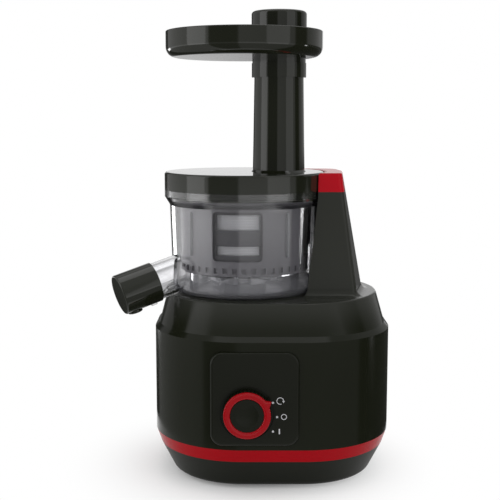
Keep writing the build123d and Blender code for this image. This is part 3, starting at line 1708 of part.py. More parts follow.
pusher_bore = pusher_stem_radius - pusher_wall
with BuildPart() as pusher_body:
    extrude(disc(feed_level(pusher_foot), pusher_stem_radius), amount=tray_floor_top - pusher_foot)
    extrude(disc(feed_level(tray_floor_top), pusher_flange_radius), amount=pusher_flange)
    extrude(
        disc(feed_level(pusher_foot + pusher_wall), pusher_bore),
        amount=flange_seat - pusher_foot,
        mode=Mode.SUBTRACT,
    )
pusher_body.part.label = "pusher_body"
export_step(pusher_body.part, "parts/pusher_body.step")

with BuildPart() as pusher_cap:
    extrude(disc(feed_level(flange_seat), pusher_flange_radius), amount=pusher_top - flange_seat)
    fillet(pusher_cap.faces().sort_by(Axis.Z)[-1].edges(), pusher_edge)
    extrude(
        disc(feed_level(flange_seat - pusher_plug_depth), pusher_bore - seat_gap),
        amount=pusher_plug_depth,
    )
    plug_bore = pusher_bore - seat_gap - pusher_wall
    plug_bore_height = pusher_top - pusher_wall - flange_seat + pusher_plug_depth
    extrude(
        disc(feed_level(flange_seat - pusher_plug_depth), plug_bore),
        amount=plug_bore_height,
        mode=Mode.SUBTRACT,
    )
pusher_cap.part.label = "pusher_cap"
export_step(pusher_cap.part, "parts/pusher_cap.step")
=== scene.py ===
import math

import bpy
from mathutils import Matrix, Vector


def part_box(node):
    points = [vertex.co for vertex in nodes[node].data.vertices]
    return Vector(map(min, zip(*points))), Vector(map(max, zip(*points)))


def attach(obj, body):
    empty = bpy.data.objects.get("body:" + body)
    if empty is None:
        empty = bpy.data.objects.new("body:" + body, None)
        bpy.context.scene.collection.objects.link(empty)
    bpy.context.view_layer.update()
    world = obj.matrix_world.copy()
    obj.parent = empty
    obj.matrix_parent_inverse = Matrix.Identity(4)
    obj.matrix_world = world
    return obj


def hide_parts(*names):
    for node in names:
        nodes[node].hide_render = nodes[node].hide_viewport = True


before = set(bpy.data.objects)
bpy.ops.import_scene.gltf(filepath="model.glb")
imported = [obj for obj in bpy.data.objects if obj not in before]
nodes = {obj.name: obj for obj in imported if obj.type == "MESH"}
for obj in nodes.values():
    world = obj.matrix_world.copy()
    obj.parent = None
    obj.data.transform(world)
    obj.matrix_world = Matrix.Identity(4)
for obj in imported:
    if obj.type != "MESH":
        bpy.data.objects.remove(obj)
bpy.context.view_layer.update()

scene = bpy.context.scene
scene.view_settings.view_transform = "Standard"
bpy.ops.object.select_all(action="DESELECT")  # the CAD nodes come in selected
print("frame loaded:", len(nodes), "nodes")


# Camera, a little above the lid and straight in front of the dial
cameraLook = {"place": (-0.0004, -0.905, 0.3205), "pitch": 7.65, "lens": 71.86, "sensor": 36.0}

cameraTurn = (math.radians(90 - cameraLook["pitch"]), 0, 0)
bpy.ops.object.camera_add(location=cameraLook["place"], rotation=cameraTurn)
camera = bpy.context.object
camera.data.lens = cameraLook["lens"]
camera.data.sensor_width = cameraLook["sensor"]
scene.camera = camera
print("camera set")


class Shade:
    # one shader socket: sums written with it become Math nodes
    def __init__(self, tree, socket=None):
        self.tree = tree
        self.socket = socket

    def node(self, kind, settings=None, sockets=None, output=0):
        made = self.tree.nodes.new(kind)
        for name, value in (settings or {}).items():
            if name == "stops":
                steps = made.color_ramp.elements
                for _ in value[2:]:
                    steps.new(1.0)
                for stop, (spot, level) in zip(steps, value):
                    stop.position = spot
                    stop.color = (level, level, level, 1)
            else:
                setattr(made, name, value)
        for name, value in (sockets or {}).items():
            if isinstance(value, Shade):
                self.tree.links.new(value.socket, made.inputs[name])
            else:
                made.inputs[name].default_value = value
        return Shade(self.tree, made.outputs[output] if made.outputs else None)

    def outputs(self, *names):
        return [Shade(self.tree, self.socket.node.outputs[name]) for name in names]

    def maths(self, operation, first, second=0.0):
        return self.node("ShaderNodeMath", {"operation": operation}, {0: first, 1: second})

    def __add__(self, other):
        return self.maths("ADD", self, other)

    def __radd__(self, other):
        return self.maths("ADD", other, self)

    def __sub__(self, other):
        return self.maths("SUBTRACT", self, other)

    def __rsub__(self, other):
        return self.maths("SUBTRACT", other, self)

    def __mul__(self, other):
        return self.maths("MULTIPLY", self, other)

    def __rmul__(self, other):
        return self.maths("MULTIPLY", other, self)

    def blend(self, share, one, two):
        return self.node("ShaderNodeMix", {"data_type": "RGBA"}, {0: share, 6: one, 7: two}, 2)

    def mixed(self, share, one, two):
        return self.node("ShaderNodeMixShader", {}, {0: share, 1: one, 2: two})

    def noise(self, where, size, detail):
        return self.node("ShaderNodeTexNoise", {}, {"Vector": where, "Scale": size, "Detail": detail})

    def bump(self, height, depth):
        return self.node("ShaderNodeBump", {}, {"Height": height, "Distance": depth, "Strength": 1.0})

    def split(self, vector):
        return self.node("ShaderNodeSeparateXYZ", {}, {"Vector": vector}).outputs("X", "Y", "Z")

    def length(self, vector):
        return self.node("ShaderNodeVectorMath", {"operation": "LENGTH"}, {0: vector}, "Value")

    def smooth(self, value, start, end, first=0.0, last=1.0):
        return self.node("ShaderNodeMapRange", {"interpolation_type": "SMOOTHSTEP"}, {
            "Value": value, "From Min": start, "From Max": end, "To Min": first, "To Max": last,
        })

    def ramp(self, stops, spot):
        return self.node("ShaderNodeValToRGB", {"stops": stops}, {"Fac": spot})

    def clamp(self, value):
        return self.node("ShaderNodeClamp", {}, {"Value": value})

    def principled(self, sockets):
        return self.node("ShaderNodeBsdfPrincipled", {}, sockets)


noiseMiddle = 0.5  # drift and grain swing about this value


def startFinish(name):
    finish = bpy.data.materials.new(name)
    finish.use_nodes = True
    finish.node_tree.nodes.clear()
    root = Shade(finish.node_tree)
    place = root.node("ShaderNodeTexCoord", output="Object")
    return finish, root, place


def endFinish(root, surface):
    root.node("ShaderNodeOutputMaterial", {}, {"Surface": surface})


def dress(names, finish):
    for name in names:
        for slot in nodes[name].material_slots:
            slot.material = finish


# Moulded plastics: a fine mould grain, slow drift in gloss, and a faint shift of tone
plasticGrain = {"driftDetail": 3.0, "grainDetail": 1.0}


def mouldedPlastic(look):
    finish, root, place = startFinish(look["name"])
    drift = root.noise(place, look["driftScale"], plasticGrain["driftDetail"])
    grain = root.noise(place, look["grainScale"], plasticGrain["grainDetail"])
    tone = root.blend(drift, look["tone"], look["secondTone"])
    if "paintedSheenTone" in look:  # painted sheen: above the shoulder the tower gets a paler base colour, standing in for the brighter reflection of its satin face
        sheenShare = root.smooth(root.split(place)[2], look["paintedSheenFrom"], look["paintedSheenTo"])
        tone = root.blend(sheenShare, tone, look["paintedSheenTone"])
    rough = look["rough"] + (drift - noiseMiddle) * look["roughDrift"]
    rough = rough + (grain - noiseMiddle) * look["roughGrain"]
    sockets = {
        "Base Color": tone, "Roughness": rough, "Normal": root.bump(grain, look["grainDepth"]),
        "IOR": look["ior"],
    }
    if "coat" in look:
        sockets.update({"Coat Weight": look["coat"], "Coat Roughness": look["coatRough"]})
    endFinish(root, root.principled(sockets))
    return finish


shellBlack = {
    "name": "shellBlack", "on": ["body_shell"],
    "tone": (0.0078, 0.0090, 0.0046, 1), "secondTone": (0.0092, 0.0105, 0.0058, 1),
    "rough": 0.15, "roughDrift": 0.05, "roughGrain": 0.04, "driftScale": 14.0, "grainScale": 1500.0,
    "grainDepth": 0.000006, "ior": 1.24,
    # painted sheen: a paler tone over the tower, fading in between these two heights, for the reflection it
    # shows
    "paintedSheenTone": (0.0260, 0.0272, 0.0225, 1), "paintedSheenFrom": 0.138, "paintedSheenTo": 0.165,
}
lidBlack = {
    "name": "lidBlack", "on": ["lid", "feed_pipe", "feed_tray", "pusher_cap", "pusher_body", "drip_cap"],
    "tone": (0.0088, 0.0100, 0.0054, 1), "secondTone": (0.0104, 0.0118, 0.0068, 1),
    "rough": 0.08, "roughDrift": 0.05, "roughGrain": 0.04, "driftScale": 14.0, "grainScale": 1500.0,
    "grainDepth": 0.000004, "ior": 1.45,
}
panBlack = {
    "name": "panBlack", "on": ["bottom_pan", "cord_gland"],
    "tone": (0.0056, 0.0066, 0.0034, 1), "secondTone": (0.0070, 0.0081, 0.0046, 1),
    "rough": 0.42, "roughDrift": 0.06, "roughGrain": 0.10, "driftScale": 12.0, "grainScale": 1100.0,
    "grainDepth": 0.000012, "ior": 1.22,
}
panelBlack = {
    "name": "panelBlack", "on": ["control_panel", "dial_body", "dial_cap"],
    "tone": (0.0050, 0.0060, 0.0024, 1), "secondTone": (0.0062, 0.0073, 0.0034, 1),
    "rough": 0.30, "roughDrift": 0.05, "roughGrain": 0.08, "driftScale": 18.0, "grainScale": 1300.0,
    "grainDepth": 0.000008, "ior": 1.28,
}
trimRed = {
    "name": "trimRed", "on": ["trim_band"],
    "tone": (0.305, 0.0012, 0.0050, 1), "secondTone": (0.340, 0.0018, 0.0066, 1),
    "rough": 0.24, "roughDrift": 0.05, "roughGrain": 0.03, "driftScale": 16.0, "grainScale": 1500.0,
    "grainDepth": 0.000004, "ior": 1.16,
}
# painted light: the tower cap is the same red plastic as the trim band, given a paler tone for the light it
# catches from the front
capRed = {
    "name": "capRed", "on": ["tower_cap"],
    "tone": (0.395, 0.0030, 0.0100, 1), "secondTone": (0.430, 0.0038, 0.0120, 1),
    "rough": 0.20, "roughDrift": 0.05, "roughGrain": 0.03, "driftScale": 18.0, "grainScale": 1500.0,
    "grainDepth": 0.000004, "ior": 1.20,
}
cageGrey = {
    "name": "cageGrey", "on": ["wiper_cage"],
    "tone": (0.154, 0.150, 0.162, 1), "secondTone": (0.175, 0.171, 0.183, 1),
    "rough": 0.42, "roughDrift": 0.06, "roughGrain": 0.08, "driftScale": 25.0, "grainScale": 1200.0,
    "grainDepth": 0.000008, "ior": 1.46,
}
frameDark = {
    "name": "frameDark", "on": ["strainer_frame", "auger"],
    "tone": (0.075, 0.074, 0.080, 1), "secondTone": (0.088, 0.087, 0.093, 1),
    "rough": 0.36, "roughDrift": 0.06, "roughGrain": 0.08, "driftScale": 25.0, "grainScale": 1200.0,
    "grainDepth": 0.000008, "ior": 1.46,
}
switchDark = {
    "name": "switchDark", "on": ["rotary_switch", "reed_switch"],
    "tone": (0.05, 0.05, 0.05, 1), "secondTone": (0.065, 0.065, 0.065, 1),
    "rough": 0.48, "roughDrift": 0.08, "roughGrain": 0.12, "driftScale": 40.0, "grainScale": 900.0,
    "grainDepth": 0.00001, "ior": 1.46,
}
gearNylon = {
    "name": "gearNylon", "on": ["wiper_pinion", "idler_gear", "cooling_fan"],
    "tone": (0.66, 0.63, 0.55, 1), "secondTone": (0.72, 0.69, 0.62, 1),
    "rough": 0.45, "roughDrift": 0.08, "roughGrain": 0.08, "driftScale": 30.0, "grainScale": 900.0,
    "grainDepth": 0.000008, "ior": 1.5,
}
softRubber = {
    "name": "softRubber", "on": ["rubber_feet", "shaft_seal"],
    "tone": (0.018, 0.018, 0.018, 1), "secondTone": (0.028, 0.028, 0.027, 1),
    "rough": 0.78, "roughDrift": 0.10, "roughGrain": 0.12, "driftScale": 60.0, "grainScale": 1600.0,
    "grainDepth": 0.00002, "ior": 1.45,
}
sealSilicone = {
    "name": "sealSilicone", "on": ["sleeve_seal", "drip_o_ring", "lid_gasket", "pulp_plug", "wiper_blades"],
    "tone": (0.20, 0.205, 0.215, 1), "secondTone": (0.25, 0.255, 0.265, 1),
    "rough": 0.55, "roughDrift": 0.08, "roughGrain": 0.06, "driftScale": 50.0, "grainScale": 1200.0,
    "grainDepth": 0.000008, "ior": 1.41,
}
for look in (
    shellBlack, lidBlack, panBlack, panelBlack, trimRed, capRed, cageGrey, frameDark, switchDark, gearNylon,
    softRubber, sealSilicone,
):
    dress(look["on"], mouldedPlastic(look))
print("plastics and rubbers done")


# Clear bowl: see-through plastic, milky at the foot, that lets the lamps reach what is inside it
bowlClear = {
    "name": "bowlClear", "on": ["juice_bowl", "pulp_chute"], "tint": (0.955, 0.955, 0.968, 1), "ior": 1.49,
    "rough": 0.006, "roughDrift": 0.015, "driftScale": 20.0, "driftDetail": 2.0,
    "milk": (0.20, 0.20, 0.215, 1), "milkRough": 0.25, "milkFrom": 0.188, "milkTo": 0.172, "milkMost": 0.16,
    "milkReach": 0.0665, "axis": (-0.0055, 0.0),
}
spoutClear = dict(
    bowlClear, name="spoutClear", on=["spout_nozzle"], tint=(0.985, 0.985, 0.99, 1), milkMost=0.0,
)


def clearPlastic(look):
    finish, root, place = startFinish(look["name"])
    drift = root.noise(place, look["driftScale"], look["driftDetail"])
    rough = look["rough"] + drift * look["roughDrift"]
    clear = root.principled({
        "Base Color": look["tint"], "Roughness": rough, "IOR": look["ior"], "Transmission Weight": 1.0,
    })
    milky = root.principled({"Base Color": look["milk"], "Roughness": look["milkRough"]})
    share = root.smooth(root.split(place)[2], look["milkTo"], look["milkFrom"], look["milkMost"], 0.0)
    centre = (-look["axis"][0], -look["axis"][1], 0)
    flat = root.node("ShaderNodeMapping", {}, {"Vector": place, "Location": centre, "Scale": (1, 1, 0)})
    share = share * root.maths("LESS_THAN", root.length(flat), look["milkReach"])  # the spout stays clear
    clear = root.mixed(share, clear, milky)
    through = root.node("ShaderNodeBsdfTransparent", {}, {"Color": look["tint"]})
    lampRay = root.node("ShaderNodeLightPath", output="Is Shadow Ray")
    endFinish(root, root.mixed(lampRay, clear, through))
    return finish


for look in (bowlClear, spoutClear):
    dress(look["on"], clearPlastic(look))


# Metals: brushed along one axis, with small marks from handling
metalGrain = {
    "streakSize": 400.0, "streakDetail": 2.0, "patchSize": 45.0, "patchDetail": 3.0, "roughPatch": 0.08,
}


def brushedMetal(look):
    finish, root, place = startFinish(look["name"])
    drawn = root.node("ShaderNodeMapping", {}, {"Vector": place, "Scale": look["brush"]})
    streak = root.noise(drawn, metalGrain["streakSize"], metalGrain["streakDetail"])
    patch = root.noise(place, metalGrain["patchSize"], metalGrain["patchDetail"])
    tone = root.blend(patch, look["tone"], look["secondTone"])
    rough = look["rough"] + (streak - noiseMiddle) * look["roughStreak"]
    rough = rough + (patch - noiseMiddle) * metalGrain["roughPatch"]
    endFinish(root, root.principled({
        "Base Color": tone, "Roughness": rough, "Metallic": look["metal"],
        "Normal": root.bump(streak, look["depth"]),
    }))
    return finish


plainSteel = {
    "name": "plainSteel", "on": [
        "drive_shaft", "output_gear", "idler_pin", "pinion_pin", "pan_screws", "case_screws", "cover_screws",
        "motor_bolts", "rotor_shaft", "shaft_bearing", "switch_stem", "lid_magnet",
    ],
    "tone": (0.50, 0.50, 0.51, 1), "secondTone": (0.58, 0.58, 0.585, 1), "metal": 1.0,
    "rough": 0.30, "roughStreak": 0.14, "brush": (1.0, 1.0, 0.08), "depth": 0.000006,
}
sheetIron = {
    "name": "sheetIron", "on": ["motor_stator", "rotor_core"],
    "tone": (0.20, 0.20, 0.21, 1), "secondTone": (0.27, 0.265, 0.26, 1), "metal": 0.9,
    "rough": 0.48, "roughStreak": 0.20, "brush": (0.03, 0.03, 4.0), "depth": 0.00003,
}
woundCopper = {
    "name": "woundCopper", "on": ["motor_windings"],
    "tone": (0.55, 0.21, 0.08, 1), "secondTone": (0.66, 0.28, 0.12, 1), "metal": 0.95,
    "rough": 0.30, "roughStreak": 0.12, "brush": (0.05, 0.05, 3.0), "depth": 0.00008,
}
bushBronze = {
    "name": "bushBronze", "on": ["shaft_bush", "motor_bushes", "lid_bush"],
    "tone": (0.50, 0.33, 0.14, 1), "secondTone": (0.60, 0.41, 0.19, 1), "metal": 1.0,
    "rough": 0.42, "roughStreak": 0.12, "brush": (1.0, 1.0, 1.0), "depth": 0.00001,
}
castAlloy = {
    "name": "castAlloy", "on": ["gearbox_case", "gearbox_cover", "motor_bracket"],
    "tone": (0.50, 0.51, 0.52, 1), "secondTone": (0.57, 0.575, 0.58, 1), "metal": 0.95,
    "rough": 0.52, "roughStreak": 0.16, "brush": (0.6, 0.6, 0.6), "depth": 0.00004,
}
for look in (plainSteel, sheetIron, woundCopper, bushBronze, castAlloy):
    dress(look["on"], brushedMetal(look))


# Strainer mesh: fine staggered round holes punched in stainless sheet
punchedSheet = {
    "name": "punchedSheet", "on": ["strainer_mesh"], "axis": (-0.0055, 0.0), "radius": 0.049,
    "pitch": 0.0016, "rowShare": 0.866, "hole": 0.30, "holeEdge": 0.06, "holeDepth": 0.00015,
    "countFrom": 1000.0,  # the count of holes stays above zero all round
    "tone": (0.72, 0.72, 0.74, 1), "secondTone": (0.78, 0.78, 0.80, 1), "paintedHoleShade": (0.22, 0.22, 0.225, 1),
    "patchSize": 60.0, "patchDetail": 2.0, "metal": 0.30, "holeMetal": 0.25,
    "rough": 0.36, "holeRough": 0.3, "roughPatch": 0.1,
}


def punchedSteel(look):
    finish, root, place = startFinish(look["name"])
    centre = (-look["axis"][0], -look["axis"][1], 0)
    centred = root.node("ShaderNodeMapping", {}, {"Vector": place, "Location": centre})
    east, north, up = root.split(centred)
    around = root.maths("ARCTAN2", north, east) * (look["radius"] / look["pitch"])
    row = up * (1.0 / (look["pitch"] * look["rowShare"]))
    odd = root.maths("FLOORED_MODULO", root.maths("FLOOR", row), 2.0) * 0.5  # every other row by half a hole
    acrossHole = root.maths("FRACT", around + odd + look["countFrom"]) - 0.5
    upHole = root.maths("FRACT", row) - 0.5
    reach = root.maths("SQRT", acrossHole * acrossHole + upHole * upHole)
    hole = root.smooth(reach, look["hole"] - look["holeEdge"], look["hole"] + look["holeEdge"], 1.0, 0.0)
    patch = root.noise(place, look["patchSize"], look["patchDetail"])
    sheet = root.blend(patch, look["tone"], look["secondTone"])
    # painted shade: the holes are painted dark grey for the shaded inside seen through them
    tone = root.blend(hole, sheet, look["paintedHoleShade"])
    metal = look["metal"] - hole * look["holeMetal"]
    rough = look["rough"] + hole * look["holeRough"] + (patch - noiseMiddle) * look["roughPatch"]
    endFinish(root, root.principled({
        "Base Color": tone, "Metallic": metal, "Roughness": rough,
        "Normal": root.bump(1.0 - hole, look["holeDepth"]),
    }))
    return finish


dress(punchedSheet["on"], punchedSteel(punchedSheet))
print("metals done")


def addDisc(spot, depth, corners, radius, flip=0.0):
    # filled circle that stands upright, facing the front
    bpy.ops.object.select_all(action="DESELECT")
    bpy.ops.mesh.primitive_circle_add(
        vertices=corners, radius=radius, fill_type="NGON",
        location=(spot[0], depth, spot[1]), rotation=(math.pi / 2, flip, 0),
    )
    return bpy.context.object


def keepRim(disc, width):
    bpy.ops.object.mode_set(mode="EDIT")
    bpy.ops.mesh.select_mode(type="FACE")
    bpy.ops.mesh.select_all(action="SELECT")
    bpy.ops.mesh.inset(thickness=width)
    bpy.ops.mesh.delete(type="FACE")
    bpy.ops.object.mode_set(mode="OBJECT")
    return disc


def pick(piece, kind, test):
    # in edit mode: selects only the vertices, edges or polygons that pass the test
    bpy.ops.mesh.select_all(action="DESELECT")
    bpy.ops.object.mode_set(mode="OBJECT")
    for part in getattr(piece.data, kind):
        part.select = test(part)
    bpy.ops.object.mode_set(mode="EDIT")


def settle():
    # closes edit mode with the faces outwards and the place kept in the mesh
    bpy.ops.mesh.select_all(action="SELECT")
    bpy.ops.mesh.normals_make_consistent(inside=False)
    bpy.ops.object.mode_set(mode="OBJECT")
    bpy.ops.object.transform_apply(location=True, rotation=True, scale=True)


# Printed switch signs on the panel beside the dial
signLook = {
    "dots": [(0.0188, 0.0823), (0.0223, 0.0700), (0.0189, 0.0575)], "dotRadius": 0.00095, "dotCorners": 28,
    "ring": (0.0281, 0.0701), "ringRadius": 0.0025, "ringWidth": 0.00062, "ringCorners": 48,
    "bar": (0.0243, 0.0575), "barSize": (0.0011, 0.0046),
    "turn": (0.0249, 0.0839), "turnRadius": 0.0031, "turnWidth": 0.00058, "turnGap": (-70, -10),
    "headSize": 2.2, "headDrop": 0.22, "rise": 0.00012, "round": 0.00004, "roundSteps": 2,
}
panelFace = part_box("control_panel")[0].y


def fitSign(piece, name):
    piece.name = name
    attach(piece, "base")
    return piece


def raiseSign(piece, name):
    # the flat outline becomes a thin closed print with a softened front edge
    bpy.ops.object.mode_set(mode="EDIT")
    bpy.ops.mesh.select_mode(type="FACE")
    bpy.ops.mesh.select_all(action="SELECT")
    bpy.ops.mesh.extrude_region_move(TRANSFORM_OT_translate={"value": (0, -signLook["rise"], 0)})
    bpy.ops.mesh.region_to_loop()
    bpy.ops.mesh.bevel(offset=signLook["round"], segments=signLook["roundSteps"])
    settle()
    return fitSign(piece, name)


def dotSigns():
    first = signLook["dots"][0]
    dots = [raiseSign(addDisc(first, panelFace, signLook["dotCorners"], signLook["dotRadius"]), "dialDot0")]
    for number, spot in enumerate(signLook["dots"][1:], 1):
        bpy.ops.object.select_all(action="DESELECT")
        dots[0].select_set(True)
        bpy.context.view_layer.objects.active = dots[0]
        bpy.ops.object.duplicate(linked=False)
        bpy.ops.object.mode_set(mode="EDIT")
        bpy.ops.mesh.select_all(action="SELECT")
        bpy.ops.transform.translate(value=(spot[0] - first[0], 0, spot[1] - first[1]))
        bpy.ops.object.mode_set(mode="OBJECT")
        dots.append(fitSign(bpy.context.object, "dialDot%d" % number))
    return dots


def barSign():
    bpy.ops.object.select_all(action="DESELECT")
    place = (signLook["bar"][0], panelFace, signLook["bar"][1])
    bpy.ops.mesh.primitive_plane_add(size=1.0, location=place, rotation=(math.pi / 2, 0, 0))
    bar = bpy.context.object
    bpy.ops.object.mode_set(mode="EDIT")
    bpy.ops.mesh.select_all(action="SELECT")
    bpy.ops.transform.resize(value=(signLook["barSize"][0], 1, signLook["barSize"][1]))
    bpy.ops.object.mode_set(mode="OBJECT")
    return raiseSign(bar, "dialBar")


def ringOutline(spot, radius, width):
    return keepRim(addDisc(spot, panelFace, signLook["ringCorners"], radius), width)


def inTurnGap(face):
    # the open part of the turn sign, at its lower right
    start, end = signLook["turnGap"]
    return start < math.degrees(math.atan2(face.center.y, face.center.x)) < end


def turnSign():
    turn = ringOutline(signLook["turn"], signLook["turnRadius"], signLook["turnWidth"])
    bpy.ops.object.mode_set(mode="EDIT")
    pick(turn, "polygons", inTurnGap)
    bpy.ops.mesh.delete(type="FACE")
    bpy.ops.object.mode_set(mode="OBJECT")
    tip = signLook["turnRadius"] - signLook["turnWidth"] / 2
    headSpot = (signLook["turn"][0] + tip, signLook["turn"][1] - tip * signLook["headDrop"])
    addDisc(headSpot, panelFace, 3, signLook["turnWidth"] * signLook["headSize"], math.pi)  # the arrow head
    turn.select_set(True)
    bpy.context.view_layer.objects.active = turn
    bpy.ops.object.join()
    return raiseSign(turn, "dialTurn")


def ringSign():
    outline = ringOutline(signLook["ring"], signLook["ringRadius"], signLook["ringWidth"])
    return raiseSign(outline, "dialRingSign")


signPrint = {
    "name": "signPrint", "tone": (0.50, 0.50, 0.52, 1), "secondTone": (0.56, 0.56, 0.58, 1),
    "rough": 0.45, "roughDrift": 0.06, "roughGrain": 0.10, "driftScale": 90.0, "grainScale": 2500.0,
    "grainDepth": 0.000004, "ior": 1.45,
}
signs = dotSigns() + [barSign(), turnSign(), ringSign()]
signFinish = mouldedPlastic(signPrint)
for sign in signs:
    sign.data.materials.clear()
    sign.data.materials.append(signFinish)
print("signs done:", len(signs))


# Dial ring: rounded outside, dished towards the cap, drawn out to a pointer
ringLook = {
    "centre": (-0.0029, 0.0733), "outer": 0.0199, "inner": 0.0141, "corners": 72,
    "pointerAngle": 29.5, "pointerReach": 0.0037, "pointerFlank": 0.0017,
    "outerRound": 0.0010, "outerSteps": 4, "innerRound": 0.0016, "innerSteps": 3, "smoothBelow": 32,
    "frontFrom": 0.99, "innerWithin": 1.02,  # shares of height and inner radius that find the inner edge
}


def rimVertex(ring, angle):
    # the one on the outer rim nearest to this angle, seen from the front
    aim = Vector((math.cos(angle), math.sin(angle))) * ringLook["outer"]
    return min(ring.data.vertices, key=lambda point: (point.co.xy - aim).length).index


def roundEdges(ring, test, offset, steps):
    pick(ring, "edges", lambda edge: all(test(ring.data.vertices[corner].co) for corner in edge.vertices))
    bpy.ops.mesh.bevel(offset=offset, segments=steps)


def dialRing():
    front, back = (corner.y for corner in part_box("dial_ring"))
    inner, outer = ringLook["inner"], ringLook["outer"]
    ring = keepRim(addDisc(ringLook["centre"], back, ringLook["corners"], outer), outer - inner)
    pointer, step = math.radians(ringLook["pointerAngle"]), 2 * math.pi / ringLook["corners"]
    pulls = [
        (pointer, ringLook["pointerReach"]), (pointer + step, ringLook["pointerFlank"]),
        (pointer - step, ringLook["pointerFlank"]),
    ]
    tips = [rimVertex(ring, angle) for angle, pull in pulls]
    bpy.ops.object.mode_set(mode="EDIT")
    bpy.ops.mesh.select_mode(type="VERT")
    for tip, (angle, pull) in zip(tips, pulls):
        pick(ring, "vertices", lambda point: point.index == tip)
        bpy.ops.transform.translate(value=(pull * math.cos(angle), 0, pull * math.sin(angle)))
    bpy.ops.mesh.select_mode(type="FACE")
    bpy.ops.mesh.select_all(action="SELECT")
    bpy.ops.mesh.extrude_region_move(TRANSFORM_OT_translate={"value": (0, front - back, 0)})
    bpy.ops.mesh.select_mode(type="EDGE")
    height, middle = back - front, (outer + inner) / 2
    raised, within = height * ringLook["frontFrom"], inner * ringLook["innerWithin"]
    roundEdges(
        ring, lambda spot: abs(spot.z) > height / 2 and spot.xy.length > middle,
        ringLook["outerRound"], ringLook["outerSteps"],
    )
    roundEdges(
        ring, lambda spot: abs(spot.z) > raised and spot.xy.length < within,
        ringLook["innerRound"], ringLook["innerSteps"],
    )
    settle()
    bpy.ops.object.shade_smooth_by_angle(angle=math.radians(ringLook["smoothBelow"]))
    ring.name = "dialRingFace"
    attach(ring, "dial")
    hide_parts("dial_ring")
    return ring


ringRed = {
    "name": "ringRed", "on": ["dial_ring"],
    "tone": (0.272, 0.0008, 0.0040, 1), "secondTone": (0.300, 0.0012, 0.0054, 1),
    "rough": 0.30, "roughDrift": 0.05, "roughGrain": 0.03, "driftScale": 20.0, "grainScale": 1500.0,
    "grainDepth": 0.000004, "ior": 1.05, "coat": 0.45, "coatRough": 0.08,
}
ringFinish = mouldedPlastic(ringRed)
dress(ringRed["on"], ringFinish)
dialRing().data.materials.append(ringFinish)
print("dial ring done")


# Floor: pale board that turns to plain white away from the object and keeps its shadow near it
floorLook = {
    "name": "floorBoard", "radius": 0.20, "corners": 96, "drop": -0.0004, "tone": (0.95, 0.95, 0.95, 1),
    "rough": 0.85, "ior": 1.2, "fadeFrom": 0.03, "fadeTo": 0.18,
}
plainWhite = (1, 1, 1, 1)


def boardFinish(look):
    finish, root, place = startFinish(look["name"])
    fade = root.smooth(root.length(place), look["fadeFrom"], look["fadeTo"])
    straight, mirrored, through = root.node("ShaderNodeLightPath").outputs(
        "Is Camera Ray", "Is Glossy Ray", "Is Transmission Ray",
    )
    board = root.principled({"Base Color": look["tone"], "Roughness": look["rough"], "IOR": look["ior"]})
    white = root.node("ShaderNodeEmission", {}, {"Color": plainWhite, "Strength": 1.0})
    endFinish(root, root.mixed(fade * root.clamp(straight + mirrored + through), board, white))
    return finish


bpy.ops.object.select_all(action="DESELECT")
bpy.ops.mesh.primitive_circle_add(
    vertices=floorLook["corners"], radius=floorLook["radius"], fill_type="NGON",
    location=(0, 0, floorLook["drop"]),
)
floor = bpy.context.object
floor.name = "floor"
floor.data.materials.append(boardFinish(floorLook))


# Studio: mirror rays see pale and dark walls, which give the black plastic its gloss. Camera and clear
# plastic see plain white. Stops are (spot, level): round the room 0.25 is left, 0.5 the camera's side and
# 0.75 right, and in height 0.5 is the horizon.
roomLook = {
    "level": 0.80,
    "walls": [
        (0.0, 1.0), (0.03, 1.0), (0.05, 0.05), (0.09, 0.05), (0.10, 0.4), (0.20, 0.75), (0.30, 1.0),
        (0.352, 1.0), (0.359, 0.12), (0.474, 0.12), (0.481, 0.62), (0.60, 0.55), (0.714, 0.50), (0.721, 0.04),
        (0.78, 0.04), (0.79, 0.40), (0.90, 0.50), (0.93, 0.30), (0.955, 1.0), (1.0, 1.0),
    ],
    "lowWalls": [
        (0.0, 0.45), (0.014, 0.65), (0.028, 0.10), (0.07, 0.05), (0.09, 0.05), (0.10, 0.4), (0.20, 0.8),
        (0.30, 1.1), (0.352, 1.1), (0.359, 0.24), (0.474, 0.24), (0.481, 0.75), (0.60, 0.75), (0.714, 0.55),
        (0.721, 0.04), (0.98, 0.08), (1.0, 0.45),
    ],
    "lowEdge": (-0.05, -0.02),
    "heights": [(0.36, 0.62), (0.395, 0.68), (0.42, 1.6), (0.445, 1.6), (0.465, 1.0), (1.0, 1.0)],
    "ceiling": (0.7, 0.7, 0.7, 1), "ceilingEdge": (0.45, 0.75),
    "strips": [
        (0.0, 0.0), (0.078, 0.0), (0.084, 0.60), (0.112, 0.60), (0.118, 0.0), (0.774, 0.0), (0.777, 1.0),
        (0.785, 1.0), (0.788, 0.0), (1.0, 0.0),
    ],
    "stripHeights": [(0.0, 0.0), (0.398, 0.0), (0.403, 1.0), (0.452, 1.0), (0.458, 0.0), (1.0, 0.0)],
    "stripPower": 7.5,
}

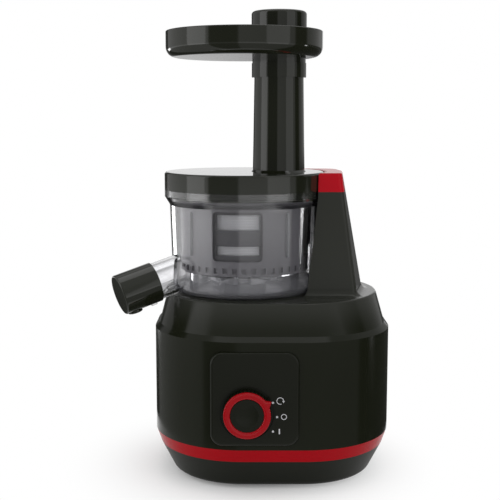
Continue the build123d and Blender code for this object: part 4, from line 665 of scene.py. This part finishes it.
world = bpy.data.worlds.new("studio")
scene.world = world
world.use_nodes = True
world.node_tree.nodes.clear()
room = Shade(world.node_tree)


def backdrop(strength):
    return room.node("ShaderNodeBackground", {}, {"Color": plainWhite, "Strength": strength})


east, north, up = room.split(room.node("ShaderNodeTexCoord", output="Generated"))
turn = room.maths("ARCTAN2", east, 0.0 - north) * (0.5 / math.pi) + 0.5
height = up * 0.5 + 0.5
aboveLow = room.smooth(up, *roomLook["lowEdge"])
walls = room.blend(aboveLow, room.ramp(roomLook["lowWalls"], turn), room.ramp(roomLook["walls"], turn))
walls = room.blend(room.smooth(up, *roomLook["ceilingEdge"]), walls, roomLook["ceiling"])
strips = room.ramp(roomLook["strips"], turn) * room.ramp(roomLook["stripHeights"], height)  # seen in the bowl
graded = walls * room.ramp(roomLook["heights"], height) + strips * roomLook["stripPower"]
straight, mirrored, through = room.node("ShaderNodeLightPath").outputs(
    "Is Camera Ray", "Is Glossy Ray", "Is Transmission Ray",
)
lit = room.mixed(room.clamp(straight + through), backdrop(roomLook["level"]), backdrop(1.0))
room.node("ShaderNodeOutputWorld", {}, {"Surface": room.mixed(mirrored, lit, backdrop(graded))})


lampLook = {
    "rightBox": {"spot": (1.35, -1.15, 0.75), "aim": (0, 0, 0.22), "size": (1.2, 1.7), "power": 4.0},
    "leftBox": {"spot": (-1.7, -0.55, 0.80), "aim": (0, 0, 0.22), "size": (1.1, 1.7), "power": 7.0},
    "topBox": {"spot": (0.0, 0.2, 2.1), "aim": (0, 0, 0.2), "size": (1.6, 1.2), "power": 7.0},
}


def softBox(name, look):
    bpy.ops.object.light_add(type="AREA", location=look["spot"])
    lamp = bpy.context.object
    lamp.name = name
    lamp.data.shape = "RECTANGLE"
    lamp.data.size, lamp.data.size_y = look["size"]
    lamp.data.energy = look["power"]
    lamp.rotation_euler = (Vector(look["aim"]) - Vector(look["spot"])).to_track_quat("-Z", "Y").to_euler()


for name, look in lampLook.items():
    softBox(name, look)
print("studio done")
